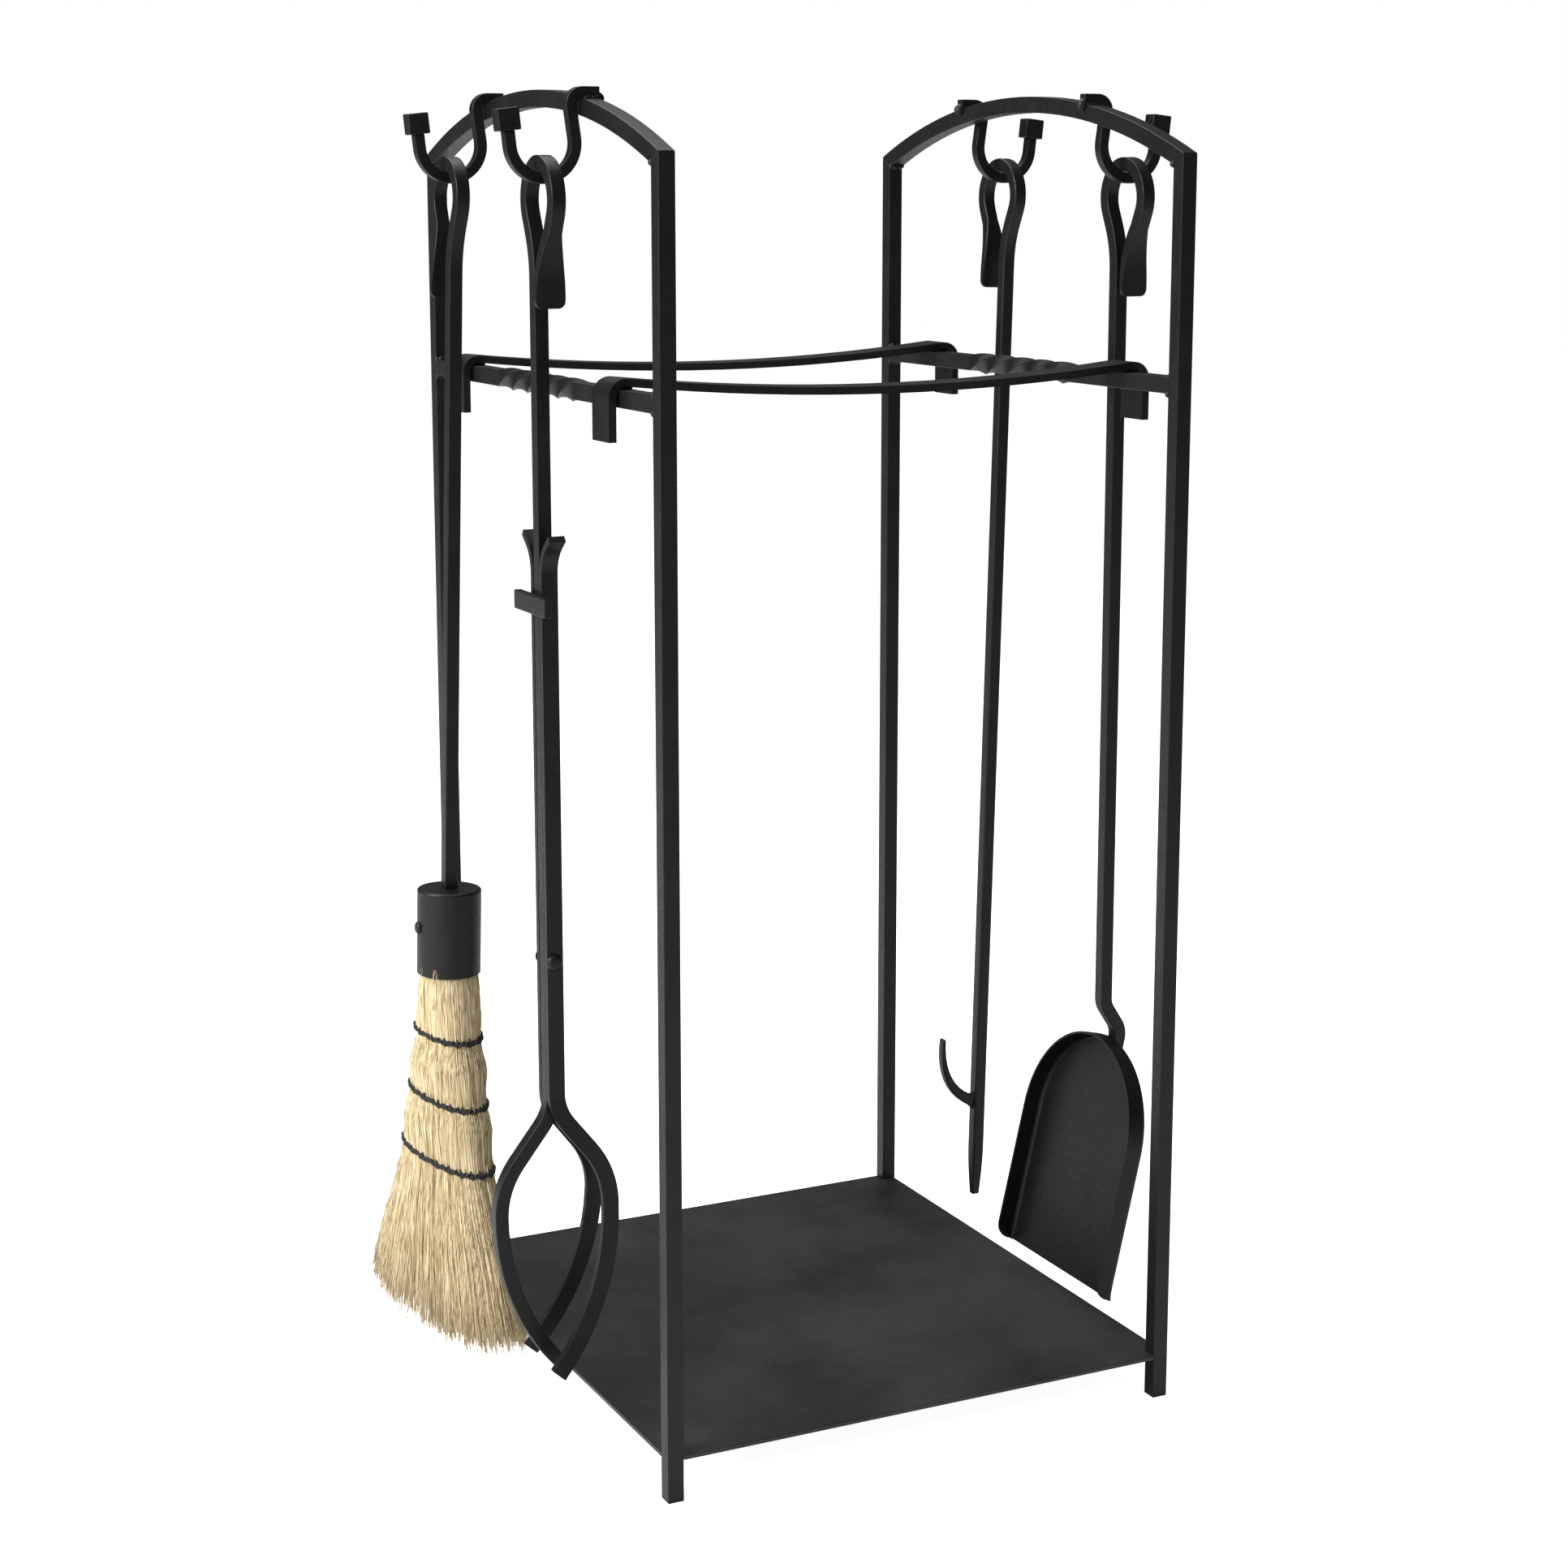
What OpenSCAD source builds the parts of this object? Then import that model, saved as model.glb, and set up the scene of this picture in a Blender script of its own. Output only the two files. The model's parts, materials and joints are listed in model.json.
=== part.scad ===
// Fireplace tool set: a square-bar log rack with two arched end frames, and a
// brush, tongs, a poker and a shovel that hang from four welded hooks.
// Units are millimetres. +Z is up, +X runs from the left end frame to the right
// one, and the origin is on the floor in the middle of the whole set's box.

/* [Rack] */
// Distance between the left and right posts' centres
rack_width = 330; // [310:1:350]
// Distance between the front and back posts' centres
rack_depth = 356; // [340:1:372]
// Height of a post's outer top corner
post_height = 762; // [750:1:800]
// Side of the square bar of the posts, arches and crossbars
bar = 10; // [9:0.5:11]
// Rise of each arch above its posts
arch_rise = 36; // [32:1:44]
// Height of the base plate's top face
plate_top = 28; // [24:1:30]
// Thickness of the base plate
plate_thickness = 3; // [2:0.5:4]

/* [Crossbars and straps] */
// Height of the crossbars' centre line
crossbar_height = 628; // [606:1:632]
// Length of the twisted middle of each crossbar
twist_length = 120; // [100:1:140]
// Quarter turns in the twisted middle
twist_quarters = 5; // [3:1:7]
// Distance between the two straps' centre lines
strap_spacing = 232; // [222:1:240]
// Width of a strap
strap_width = 24; // [20:1:26]
// Thickness of a strap
strap_thickness = 4.5; // [4:0.5:5]
// Sag of a strap in the middle of its span
strap_sag = 9; // [5:1:12]
// Drop of the bent ends below the crossbars' top face
strap_tab_drop = 29; // [24:1:34]

/* [Hooks] */
// Distance between the two hooks on one arch
hook_spacing = 150; // [144:1:156]
// Side of the hooks' square bar
hook_bar = 6.4; // [6:0.1:6.6]
// Centre-line radius of a hook's lower bend
hook_radius = 19.4; // [19:0.1:20.2]
// Drop of that bend's centre below the arch's top face
hook_drop = 24.6; // [24.2:0.1:26]
// Lean of a hook's legs away from upright
hook_lean = 8; // [6:1:10]
// Size of the square knob: along the arm, across it and along the arch
knob_size = [12.4, 13, 10]; // [9:0.1:14]

/* [Tools] */
// Side of the tools' square rod
rod = 8.4; // [8:0.1:8.6]
// Outer radius of a handle's eye
eye_radius = 24.5; // [24:0.1:26]
// Lean of an eye's straight sides away from upright
eye_side_angle = 25; // [24:1:27]
// Height of an eye from its round centre down to its neck
eye_neck_drop = 44; // [42:0.5:46]
// Length of the flattened tail below the neck
tail_length = 16; // [14:1:20]
// Width of the tail at its end
tail_width = 18; // [14:1:20]
// Gap between the eye's bar and the hook where the bar is nearest
eye_clearance = 0.33; // [0.3:0.01:0.5]

/* [Brush] */
// Lean of the hanging brush away from upright
brush_lean = 1.7; // [1:0.1:1.8]
// Outer radius of the ferrule
ferrule_radius = 20; // [19:0.5:21]
// Height of the ferrule
ferrule_height = 54; // [50:1:60]
// Thickness of the ferrule's wall and top
ferrule_wall = 1.8; // [1.5:0.1:2]
// Depth of the ferrule's top below the hook's bend centre
ferrule_depth = 455.5; // [445:0.5:460]
// Half of the bristle head's width at its lower end
bristle_half_width = 77; // [65:1:80]
// Half of the bristle head's thickness at its lower end
bristle_half_depth = 24; // [18:1:26]
// Turn of the bristle head's wide side towards the rack
bristle_turn = 14; // [8:1:18]

/* [Tongs] */
// Depth of the rivet below the hook's bend centre
rivet_depth = 470; // [462:1:478]
// Radius of the rivet's shank
rivet_radius = 2.5; // [2:0.1:3]
// Depth at which the jaws part, below the hook's bend centre
jaw_depth = 551; // [545:1:556]
// Width of a yoke bar
yoke_width = 10; // [9:0.5:11]
// Thickness of a yoke bar
yoke_thickness = 4; // [3:0.5:4.5]
// Outward lean of the yoke's two prongs
prong_lean = 5.5; // [4:0.5:7]

/* [Poker] */
// Lean of the hanging poker away from upright
poker_lean = 1.4; // [1:0.1:1.8]
// Depth of the poker's tip below the hook's bend centre
poker_depth = 717; // [700:1:730]
// Length of the poker's tapered point
point_length = 36; // [28:1:44]

/* [Shovel] */
// Width of the pan
pan_width = 124; // [116:1:126]
// Length of the pan from its round end to its lip
pan_length = 158; // [150:1:160]
// Depth of the pan
pan_depth = 14; // [12:1:15]
// Thickness of the pan's sheet
pan_sheet = 1.5; // [1.2:0.1:2]
// Slope of the pan away from upright
pan_slope = 13; // [10:1:15]

/* [Hidden] */
RACK_NODES = [
    "post_front_left", "post_back_left", "post_front_right", "post_back_right",
    "arch_left", "arch_right", "crossbar_left", "crossbar_right",
    "strap_front", "strap_back", "base_plate"
];
HOOK_NODES = [
    "hook_brush", "hook_tongs", "hook_poker", "hook_shovel",
    "knob_brush", "knob_tongs", "knob_poker", "knob_shovel"
];
BRUSH_NODES = [
    "brush_rod", "brush_ferrule", "ferrule_screw", "brush_core", "bristle_head",
    "stitch_row_top", "stitch_row_middle", "stitch_row_bottom"
];
TONGS_NODES = [
    "tongs_rod", "tongs_rivet", "tongs_yoke_front", "tongs_yoke_back", "tongs_cross_plate"
];
POKER_NODES = ["poker_rod", "poker_tine"];
SHOVEL_NODES = ["shovel_rod", "shovel_pan"];

$fn = 64;
LEFT = -1;
RIGHT = 1;
FRONT = -1;
BACK = 1;
COAT = [0.10, 0.10, 0.105];
PLATE_COAT = [0.20, 0.20, 0.205];
STRAW = [0.80, 0.68, 0.46];
TWINE = [0.05, 0.05, 0.05];
WOOD = [0.62, 0.47, 0.30];

// Overlap that joins the pieces of one solid
lap = 0.05;
// Overlap of two bars that are bent in different planes
splice = 2;
// Largest turn between two stations of a bend
bend_step = 5;

// End frames. The brush hangs lower and wider than the other tools, so the
// rack's middle is beside the origin.
rack_x = 15;
half_bar = bar / 2;
half_width = rack_width / 2;
half_depth = rack_depth / 2;
outer_depth = half_depth + half_bar;
inner_depth = half_depth - half_bar;
arch_outer_radius = (outer_depth * outer_depth + arch_rise * arch_rise) / (2 * arch_rise);
arch_inner_radius = arch_outer_radius - bar;
arch_centre_height = post_height + arch_rise - arch_outer_radius;
mitre_height = arch_centre_height + sqrt(pow(arch_inner_radius, 2) - pow(inner_depth, 2));
mitre_step = post_height - mitre_height;
arch_half_angle = asin(outer_depth / arch_outer_radius) + 3;
crossbar_top = crossbar_height + half_bar;
crossbar_length = 2 * inner_depth;

// Straps
strap_lean = 2 * atan(strap_sag / half_width);
strap_bend_inner = 6;
strap_bend = strap_bend_inner + strap_thickness / 2;
strap_tab_gap = 2;
strap_tab_x = half_width + half_bar + strap_tab_gap + strap_thickness / 2;
strap_bend_height = crossbar_top - 4.4;
strap_tab_length = strap_bend_height - (crossbar_top - strap_tab_drop);
strap_weld_size = [7, 18];

// Hooks, whose bends have their centres on the tools' hinge axes
hook_half = hook_bar / 2;
hook_y = hook_spacing / 2;
arch_top_at_hook = arch_centre_height
    + sqrt(pow(arch_outer_radius, 2) - pow(hook_y + hook_half, 2));
axis_x = half_width + half_bar + hook_half + hook_radius;
axis_z = arch_top_at_hook - hook_drop;
hook_top_bend = 7;
hook_end_lean = 6;
hook_top_z = arch_top_at_hook + hook_half;
hook_leg = (hook_top_z - hook_top_bend * (1 + sin(hook_lean))
    - hook_radius * sin(hook_lean) - axis_z) / cos(hook_lean);
hook_bend_x = axis_x - (hook_top_bend + hook_radius) * cos(hook_lean)
    + hook_leg * sin(hook_lean);
hook_top_length = 10;
hook_arm = 8.5;
hook_path = [
    ["line", hook_top_length],
    ["bend", -90 - hook_lean, hook_top_bend],
    ["line", hook_leg],
    ["bend", 180 + hook_lean - hook_end_lean, hook_radius],
    ["line", hook_arm]
];

// Tool eyes, measured down from the hinge axis
half_rod = rod / 2;
eye_centre_radius = eye_radius - half_rod;
eye_inner_radius = eye_radius - rod;
hook_inner_radius = hook_radius - hook_half;
eye_sagitta = eye_inner_radius - sqrt(pow(eye_inner_radius, 2) - pow(hook_half, 2));
eye_top_depth = sqrt(pow(hook_inner_radius - eye_clearance, 2) - pow(half_rod, 2)) - eye_sagitta;
eye_centre_depth = eye_top_depth + eye_inner_radius;
neck_gap = 8.4;
neck_offset = half_rod + neck_gap / 2;
neck_depth = eye_centre_depth + eye_neck_drop;
eye_side_reach = eye_centre_radius * cos(eye_side_angle) - neck_offset;
eye_side_drop = eye_neck_drop - eye_centre_radius * sin(eye_side_angle);
eye_share = sin(eye_side_angle) * sin(eye_side_angle)
    - (1 - cos(eye_side_angle)) * cos(eye_side_angle);
eye_side = (eye_side_reach * sin(eye_side_angle)
    - eye_side_drop * (1 - cos(eye_side_angle))) / eye_share;
eye_neck_bend = (eye_side_drop - eye_side * cos(eye_side_angle)) / sin(eye_side_angle);
tail_end_thickness = 3;

// Brush
ferrule_bottom = ferrule_depth + ferrule_height;
ferrule_inner_radius = ferrule_radius - ferrule_wall;
brush_rod_end = ferrule_depth + 14;
screw_depth = ferrule_depth + 24;
screw_radius = 2;
screw_clearance = 0.1;
screw_head_radius = 3.8;
screw_head_height = 2.2;
screw_reach = 8;
core_radius = 9;
core_top = brush_rod_end + 0.5;
core_bottom = ferrule_bottom - 2;
core_gap = 0.2;
bristle_root_radius = ferrule_inner_radius - 0.6;
bristle_top = core_top + 1;
level_sides = 48;
// Each level: depth below the axis, half width, half thickness
bristle_levels = [
    [ferrule_bottom, ferrule_inner_radius - 0.3, ferrule_inner_radius - 0.3],
    [552, 25.5, 17],
    [588, 33, 17.5],
    [627, 41, 18.5],
    [712, bristle_half_width, bristle_half_depth - 1],
    [729, bristle_half_width - 4, bristle_half_depth]
];
stitch_rows = [1, 2, 3];
stitch_height = 2.4;
stitch_thickness = 1.8;
stitch_gap = 0.15;

// Tongs
tongs_side = BACK;
tongs_rod_y = neck_offset;
side_gap = 0.3;
yoke_y = half_rod + side_gap + yoke_thickness / 2;
yoke_outer_y = yoke_y + yoke_thickness / 2;
stop_gap = 0.1;
yoke_x = yoke_width / 2 - half_rod - stop_gap;
rivet_clearance = 0.05;
rivet_head_radius = 5;
rivet_head_height = 2;
rivet_head_gap = 0.15;
flare_bend = 22;
flare_angle = 50;
flare_tip = 8;
flare_depth = 242;
cross_plate_size = [4.6, 48, 11];
cross_plate_depth = 259;
jaw_start = 2;
jaw_splay = 38;
jaw_tip_splay = 42;
knee_bend = 40;
jaw_path = [
    ["line", splice + jaw_start],
    ["bend", jaw_splay, 30],
    ["line", 26],
    ["bend", -jaw_splay, 52],
    ["bend", -jaw_tip_splay, 146]
];
prong_path = [
    ["bend", -jaw_splay, 30],
    ["line", 22],
    ["bend", jaw_splay, 52],
    ["bend", jaw_tip_splay, 150]
];

// Poker
tine_root_depth = 649.5;
tine_reach = 29;
tine_rise = 47;
tine_depth = 6.4;
tine_root_half = 4;
tine_tip_half = 1.2;
tine_steps = 10;
tip_half = 2;

// Shovel
shovel_bend_depth = 541;
shovel_weld_length = 30;
shovel_offset_turn = 33;
shovel_path = [
    ["line", splice + 2],
    ["bend", shovel_offset_turn, 14],
    ["line", 12],
    ["bend", -shovel_offset_turn - pan_slope, 14],
    ["line", shovel_weld_length]
];
pan_top_reach = 1;
pan_round_height = 64;
pan_top_radius = 36;
pan_lip_radius = 9;

// Moves children to the rack's place beside the origin.
module placed() {
    translate([rack_x, 0, 0]) children();
}

// The station [x, y, heading] at the end of a line that starts at a station.
function line_end(at, length) = [at.x + length * cos(at.z), at.y + length * sin(at.z), at.z];

// The stations along a bend, which turns left for a positive turn.
function bend_stations(at, turn, radius) =
    let (
        steps = ceil(abs(turn) / bend_step),
        side = sign(turn) * radius,
        centre = [at.x - side * sin(at.z), at.y + side * cos(at.z)]
    )
    [
        for (i = [1 : steps])
            let (heading = at.z + turn * i / steps)
            [centre.x + side * sin(heading), centre.y - side * cos(heading), heading]
    ];

// The stations after the start of a path, a list of ["line", length] and
// ["bend", turn, radius].
function path_stations(path, at = [0, 0, 0], step = 0) =
    step >= len(path) ? [] :
    let (
        piece = path[step],
        added = piece[0] == "line"
            ? [line_end(at, piece[1])]
            : bend_stations(at, piece[1], piece[2])
    )
    concat(added, path_stations(path, added[len(added) - 1], step + 1));

// The station at a path's end.
function path_end(path) =
    let (all = path_stations(path)) all[len(all) - 1];

// A point beside a station.
function beside(at, offset) = [at.x - offset * sin(at.z), at.y + offset * cos(at.z)];

// Moves children to the end of a path in the XY plane.
module follow(path) {
    end = path_end(path);
    translate([end.x, end.y, 0]) rotate([0, 0, end.z]) children();
}

// A flat or square bar bent along a path in the XY plane from a start station.
module bent_bar(path, width, thickness, start = [0, 0, 0]) {
    line = concat([start], path_stations(path, start));
    last = len(line) - 1;
    linear_extrude(thickness, center = true)
        polygon(concat(
            [for (i = [0 : last]) beside(line[i], width / 2)],
            [for (i = [last : -1 : 0]) beside(line[i], -width / 2)]
        ));
}

// Places a solid drawn in the XY plane into the XZ plane.
module into_xz() {
    rotate([90, 0, 0]) children();
}

// Places a solid drawn in the XY plane into the YZ plane, with its X upwards.
module upright_yz() {
    rotate([0, -90, 0]) children();
}

// Moves children to a hook's hinge axis.
module at_axis(side, place) {
    translate([side * axis_x, place * hook_y, axis_z]) children();
}

// An upright post with its top cut to the mitre.
module post(side, place) {
    color(COAT)
    translate([side * half_width - half_bar, 0, 0])
        rotate([90, 0, 90])
            linear_extrude(bar)
                polygon([
                    [place * inner_depth, 0], [place * outer_depth, 0],
                    [place * outer_depth, post_height], [place * inner_depth, mitre_height]
                ]);
}

// The square bar of an arch, before its ends are cut.
module arch_ring(side) {
    translate([side * half_width, 0, arch_centre_height])
        rotate([90 - arch_half_angle, 0, 0])
            rotate([0, 90, 0])
                rotate([0, 0, 90])
                    rotate_extrude(angle = 2 * arch_half_angle, $fn = 360)
                        translate([arch_inner_radius, -half_bar]) square([bar, bar]);
}

// An arch between the mitres of its two posts.
module arch(side) {
    reach = 3 * bar;
    color(COAT)
    intersection() {
        arch_ring(side);
        translate([side * half_width - bar, 0, 0])
            rotate([90, 0, 90])
                linear_extrude(2 * bar)
                    polygon([
                        [outer_depth + bar, post_height + mitre_step],
                        [outer_depth - reach, post_height - reach / bar * mitre_step],
                        [reach - outer_depth, post_height - reach / bar * mitre_step],
                        [-outer_depth - bar, post_height + mitre_step],
                        [-outer_depth - bar, post_height + 2 * arch_rise],
                        [outer_depth + bar, post_height + 2 * arch_rise]
                    ]);
    }
}

// A square crossbar with a twisted middle.
module crossbar(side) {
    plain = (crossbar_length - twist_length) / 2;
    color(COAT)
    translate([side * half_width, 0, crossbar_height]) {
        for (place = [FRONT, BACK])
            translate([-half_bar, place * (inner_depth - plain / 2) - plain / 2, -half_bar])
                cube([bar, plain, bar]);
        rotate([90, 0, 0])
            linear_extrude(twist_length + 2 * lap, center = true, twist = -90 * twist_quarters,
                           slices = 60, $fn = 4)
                square(bar, center = true);
    }
}

// One end of a strap: the bend over a crossbar, the tab outside it and the weld.
module strap_end() {
    bend_x = strap_tab_x - strap_bend;
    sweep = 90 + strap_lean;
    into_xz() {
        translate([bend_x, strap_bend_height]) 
            rotate_extrude(angle = sweep, $fn = 96)
                translate([strap_bend_inner, -strap_width / 2])
                    square([strap_thickness, strap_width]);
        translate([strap_tab_x - strap_thickness / 2, strap_bend_height - strap_tab_length,
                   -strap_width / 2])
            cube([strap_thickness, strap_tab_length, strap_width]);
    }
    translate([half_width - strap_weld_size[0] / 2, -strap_weld_size[1] / 2, crossbar_top])
        cube([strap_weld_size[0], strap_weld_size[1], 2.4]);
}

// A sagging strap over both crossbars.
module strap(place) {
    bend_x = strap_tab_x - strap_bend;
    join_x = bend_x - strap_bend * sin(strap_lean);
    join_z = strap_bend_height + strap_bend * cos(strap_lean);
    middle_radius = join_x / sin(strap_lean);
    color(COAT)
    translate([0, place * strap_spacing / 2, 0]) {
        into_xz()
            translate([0, join_z + middle_radius * cos(strap_lean), 0])
                rotate([0, 0, -90 - strap_lean])
                    rotate_extrude(angle = 2 * strap_lean, $fn = 720)
                        translate([middle_radius - strap_thickness / 2, -strap_width / 2])
                            square([strap_thickness, strap_width]);
        strap_end();
        mirror([1, 0, 0]) strap_end();
    }
}

// The base plate, notched around the four posts.
module base_plate() {
    color(PLATE_COAT)
    translate([0, 0, plate_top - plate_thickness])
        difference() {
            translate([-half_width - half_bar, -outer_depth, 0])
                cube([rack_width + bar, 2 * outer_depth, plate_thickness]);
            for (side = [LEFT, RIGHT], place = [FRONT, BACK])
                translate([side * (half_width + half_bar) - bar, place * outer_depth - bar, -1])
                    cube([2 * bar, 2 * bar, plate_thickness + 2]);
        }
}

// Places a hook's path, for a hook that leans out over the right arch.
module at_hook_start() {
    translate([hook_bend_x - hook_top_length, 0, hook_top_z]) into_xz() children();
}

// A hook bent from square bar, its top leg shaped to the arch.
module hook(side, place) {
    color(COAT)
    difference() {
        translate([0, place * hook_y, 0])
            mirror([side == LEFT ? 1 : 0, 0, 0])
                at_hook_start() bent_bar(hook_path, hook_bar, hook_bar);
        arch_ring(side);
    }
}

// The square knob on a hook's end.
module knob(side, place) {
    color(COAT)
    translate([0, place * hook_y, 0])
        mirror([side == LEFT ? 1 : 0, 0, 0])
            at_hook_start() follow(hook_path)
                translate([0, -knob_size[1] / 2, -knob_size[2] / 2]) cube(knob_size);
}

// The flattened fish tail at the end of an eye, along +X from the neck.
module tail() {
    flat_start = 5;
    chamfer = 2.5;
    half_tail = tail_width / 2;
    intersection() {
        linear_extrude(2 * tail_width, center = true)
            polygon([
                [-splice, -half_rod], [tail_length, -half_rod],
                [tail_length, tail_end_thickness - half_rod],
                [0, half_rod], [-splice, half_rod]
            ]);
        rotate([90, 0, 0])
            linear_extrude(2 * tail_width, center = true)
                polygon([
                    [-splice, -half_rod], [flat_start, -half_rod],
                    [tail_length - 2 * chamfer, -half_tail],
                    [tail_length - chamfer, -half_tail], [tail_length, chamfer - half_tail],
                    [tail_length, half_tail - chamfer], [tail_length - chamfer, half_tail],
                    [tail_length - 2 * chamfer, half_tail],
                    [flat_start, half_rod], [-splice, half_rod]
                ]);
    }
}

// A handle: a straight rod up from rod_end, the eye and the tail. The axis is
// at the origin and the rod stands on the given side of the eye's middle.
module handle(rod_end, side) {
    eye_path = [
        ["line", rod_end - neck_depth],
        ["bend", eye_side_angle, eye_neck_bend],
        ["line", eye_side],
        ["bend", -180 - 2 * eye_side_angle, eye_centre_radius],
        ["line", eye_side],
        ["bend", eye_side_angle, eye_neck_bend],
        ["line", splice]
    ];
    mirror([0, side == FRONT ? 1 : 0, 0])
        translate([0, neck_offset, -rod_end])
            upright_yz() {
                bent_bar(eye_path, rod, rod);
                follow(eye_path) tail();
            }
}

// The hanging brush's own frame, leaning about the hinge axis.
module at_brush() {
    at_axis(LEFT, BACK) rotate([0, brush_lean, 0]) children();
}

module brush_rod() {
    color(COAT) at_brush() handle(brush_rod_end, FRONT);
}

// Moves children to the middle of the brush's head, on the rod's line.
module at_ferrule(depth) {
    translate([0, -neck_offset, -depth]) children();
}

// The ferrule: a deep cap with a square hole for the rod and a screw hole.
module brush_ferrule() {
    color(COAT)
    at_brush()
    difference() {
        at_ferrule(ferrule_bottom) cylinder(h = ferrule_height, r = ferrule_radius);
        at_ferrule(ferrule_bottom + 1)
            cylinder(h = ferrule_height + 1 - ferrule_wall, r = ferrule_inner_radius);
        at_ferrule(ferrule_depth) cube([rod, rod, 3 * ferrule_wall], center = true);
        at_ferrule(screw_depth) rotate([0, -90, 0])
            cylinder(h = 2 * ferrule_radius, r = screw_radius + screw_clearance, $fn = 32);
    }
}

// The round-head screw through the ferrule into the core.
module ferrule_screw() {
    head_x = ferrule_radius + screw_clearance;
    color(COAT)
    at_brush() at_ferrule(screw_depth) rotate([0, -90, 0])
    difference() {
        union() {
            translate([0, 0, screw_reach - 4])
                cylinder(h = head_x - screw_reach + 4, r = screw_radius, $fn = 32);
            translate([0, 0, head_x])
                cylinder(h = screw_head_height, r = screw_head_radius, $fn = 32);
        }
        translate([0, 0, head_x + screw_head_height / 2]) cylinder(h = 3, r = 2, $fn = 6);
    }
}

// The wooden core inside the ferrule that the bristles are packed around.
module brush_core() {
    color(WOOD)
    at_brush()
    difference() {
        at_ferrule(core_bottom) cylinder(h = core_bottom - core_top, r = core_radius);
        at_ferrule(screw_depth) rotate([0, -90, 0])
            translate([0, 0, screw_reach - 4])
                cylinder(h = core_radius, r = screw_radius, $fn = 32);
    }
}

// The corners of one bristle level: [depth, half width, half thickness].
function level_points(level) =
    let (reach = level[1] - level[2])
    [
        for (i = [0 : level_sides - 1])
            let (angle = 360 * (i + 0.5) / level_sides)
            [level[2] * cos(angle), level[2] * sin(angle) + sign(sin(angle)) * reach, -level[0]]
    ];

// The bristles below the ferrule: a closed solid through the levels.
module bristle_fan() {
    last = len(bristle_levels) - 1;
    n = level_sides;
    points = [for (level = bristle_levels) each level_points(level)];
    sides = [
        for (k = [0 : last - 1], i = [0 : n - 1])
            let (j = (i + 1) % n)
            each [
                [k * n + i, k * n + j, (k + 1) * n + j],
                [k * n + i, (k + 1) * n + j, (k + 1) * n + i]
            ]
    ];
    caps = [[for (i = [n - 1 : -1 : 0]) i], [for (i = [0 : n - 1]) last * n + i]];
    polyhedron(points, concat(sides, caps));
}

// The bristle head: the fan and the ring of bristles inside the ferrule.
module bristle_head() {
    color(STRAW)
    at_brush()
    difference() {
        union() {
            at_ferrule(0) rotate([0, 0, bristle_turn]) bristle_fan();
            at_ferrule(ferrule_bottom + splice) bristle_ring();
        }
        at_ferrule(screw_depth) rotate([0, -90, 0])
            cylinder(h = 2 * ferrule_radius, r = screw_radius + screw_clearance, $fn = 32);
    }
}

// The ring of bristles between the ferrule's wall and the core.
module bristle_ring() {
    height = ferrule_bottom - bristle_top + splice;
    difference() {
        cylinder(h = height, r = bristle_root_radius);
        translate([0, 0, splice + 1])
            cylinder(h = height, r = core_radius + core_gap);
    }
}

// A stadium prism of the given half sizes.
module stadium(half_long, half_short, height) {
    reach = half_long - half_short;
    for (end = [-reach, reach])
        translate([0, end, 0]) cylinder(h = height, r = half_short);
    translate([-half_short, -reach, 0]) cube([2 * half_short, 2 * reach, height]);
}

// A row of twine stitched around the bristles.
module stitch_row(level) {
    slope = stitch_height * 0.25;
    inner_long = level[1] + stitch_gap;
    inner_short = level[2] + stitch_gap;
    color(TWINE)
    at_brush() at_ferrule(level[0]) rotate([0, 0, bristle_turn])
    difference() {
        stadium(inner_long + stitch_thickness, inner_short + stitch_thickness, stitch_height);
        translate([0, 0, -slope]) stadium(inner_long, inner_short, stitch_height + 2 * slope);
    }
}

// The tongs' own frame, with the rod's centre line on the Z axis.
module at_tongs() {
    at_axis(LEFT, FRONT) children();
}

// The tongs' handle, drilled for the rivet, and its single jaw.
module tongs_rod() {
    color(COAT)
    at_tongs()
    difference() {
        union() {
            handle(jaw_depth, tongs_side);
            translate([0, tongs_rod_y, splice - jaw_depth])
                into_xz() rotate([0, 0, -90]) mirror([0, 1, 0])
                    bent_bar(jaw_path, rod, rod);
        }
        translate([0, tongs_rod_y, -rivet_depth]) rotate([90, 0, 0])
            cylinder(h = 2 * rod, r = rivet_radius, center = true, $fn = 48);
    }
}

// The rivet that both halves of the tongs turn on.
module tongs_rivet() {
    head_y = yoke_outer_y + rivet_head_gap;
    color(COAT)
    at_tongs()
    translate([0, tongs_rod_y, -rivet_depth]) rotate([90, 0, 0]) {
        cylinder(h = 2 * head_y, r = rivet_radius, center = true, $fn = 48);
        for (flip = [0, 180])
            rotate([flip, 0, 0]) translate([0, 0, head_y]) {
                cylinder(h = rivet_head_height / 2, r = rivet_head_radius, $fn = 48);
                translate([0, 0, rivet_head_height / 2])
                    cylinder(h = rivet_head_height / 2, r = rivet_head_radius - 1.2, $fn = 48);
            }
    }
}

// A yoke bar's edge view: the prong's lean, the straight bar and the flared top.
module yoke_edge(reach) {
    start = [
        -reach * cos(prong_lean) - knee_bend * sin(prong_lean),
        reach * sin(prong_lean) + knee_bend * (1 - cos(prong_lean)),
        -prong_lean
    ];
    path = [
        ["line", reach],
        ["bend", prong_lean, knee_bend],
        ["line", jaw_depth - flare_depth],
        ["bend", flare_angle, flare_bend],
        ["line", flare_tip]
    ];
    translate([0, 0, -jaw_depth]) upright_yz()
        bent_bar(path, yoke_thickness, 2 * reach, start);
}

// A yoke bar's face view: a straight bar above a bowed prong.
module yoke_face(reach) {
    translate([0, 0, reach - jaw_depth]) into_xz() rotate([0, 0, -90]) mirror([0, 1, 0])
        bent_bar(concat([["line", reach]], prong_path), yoke_width, reach);
}

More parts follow.
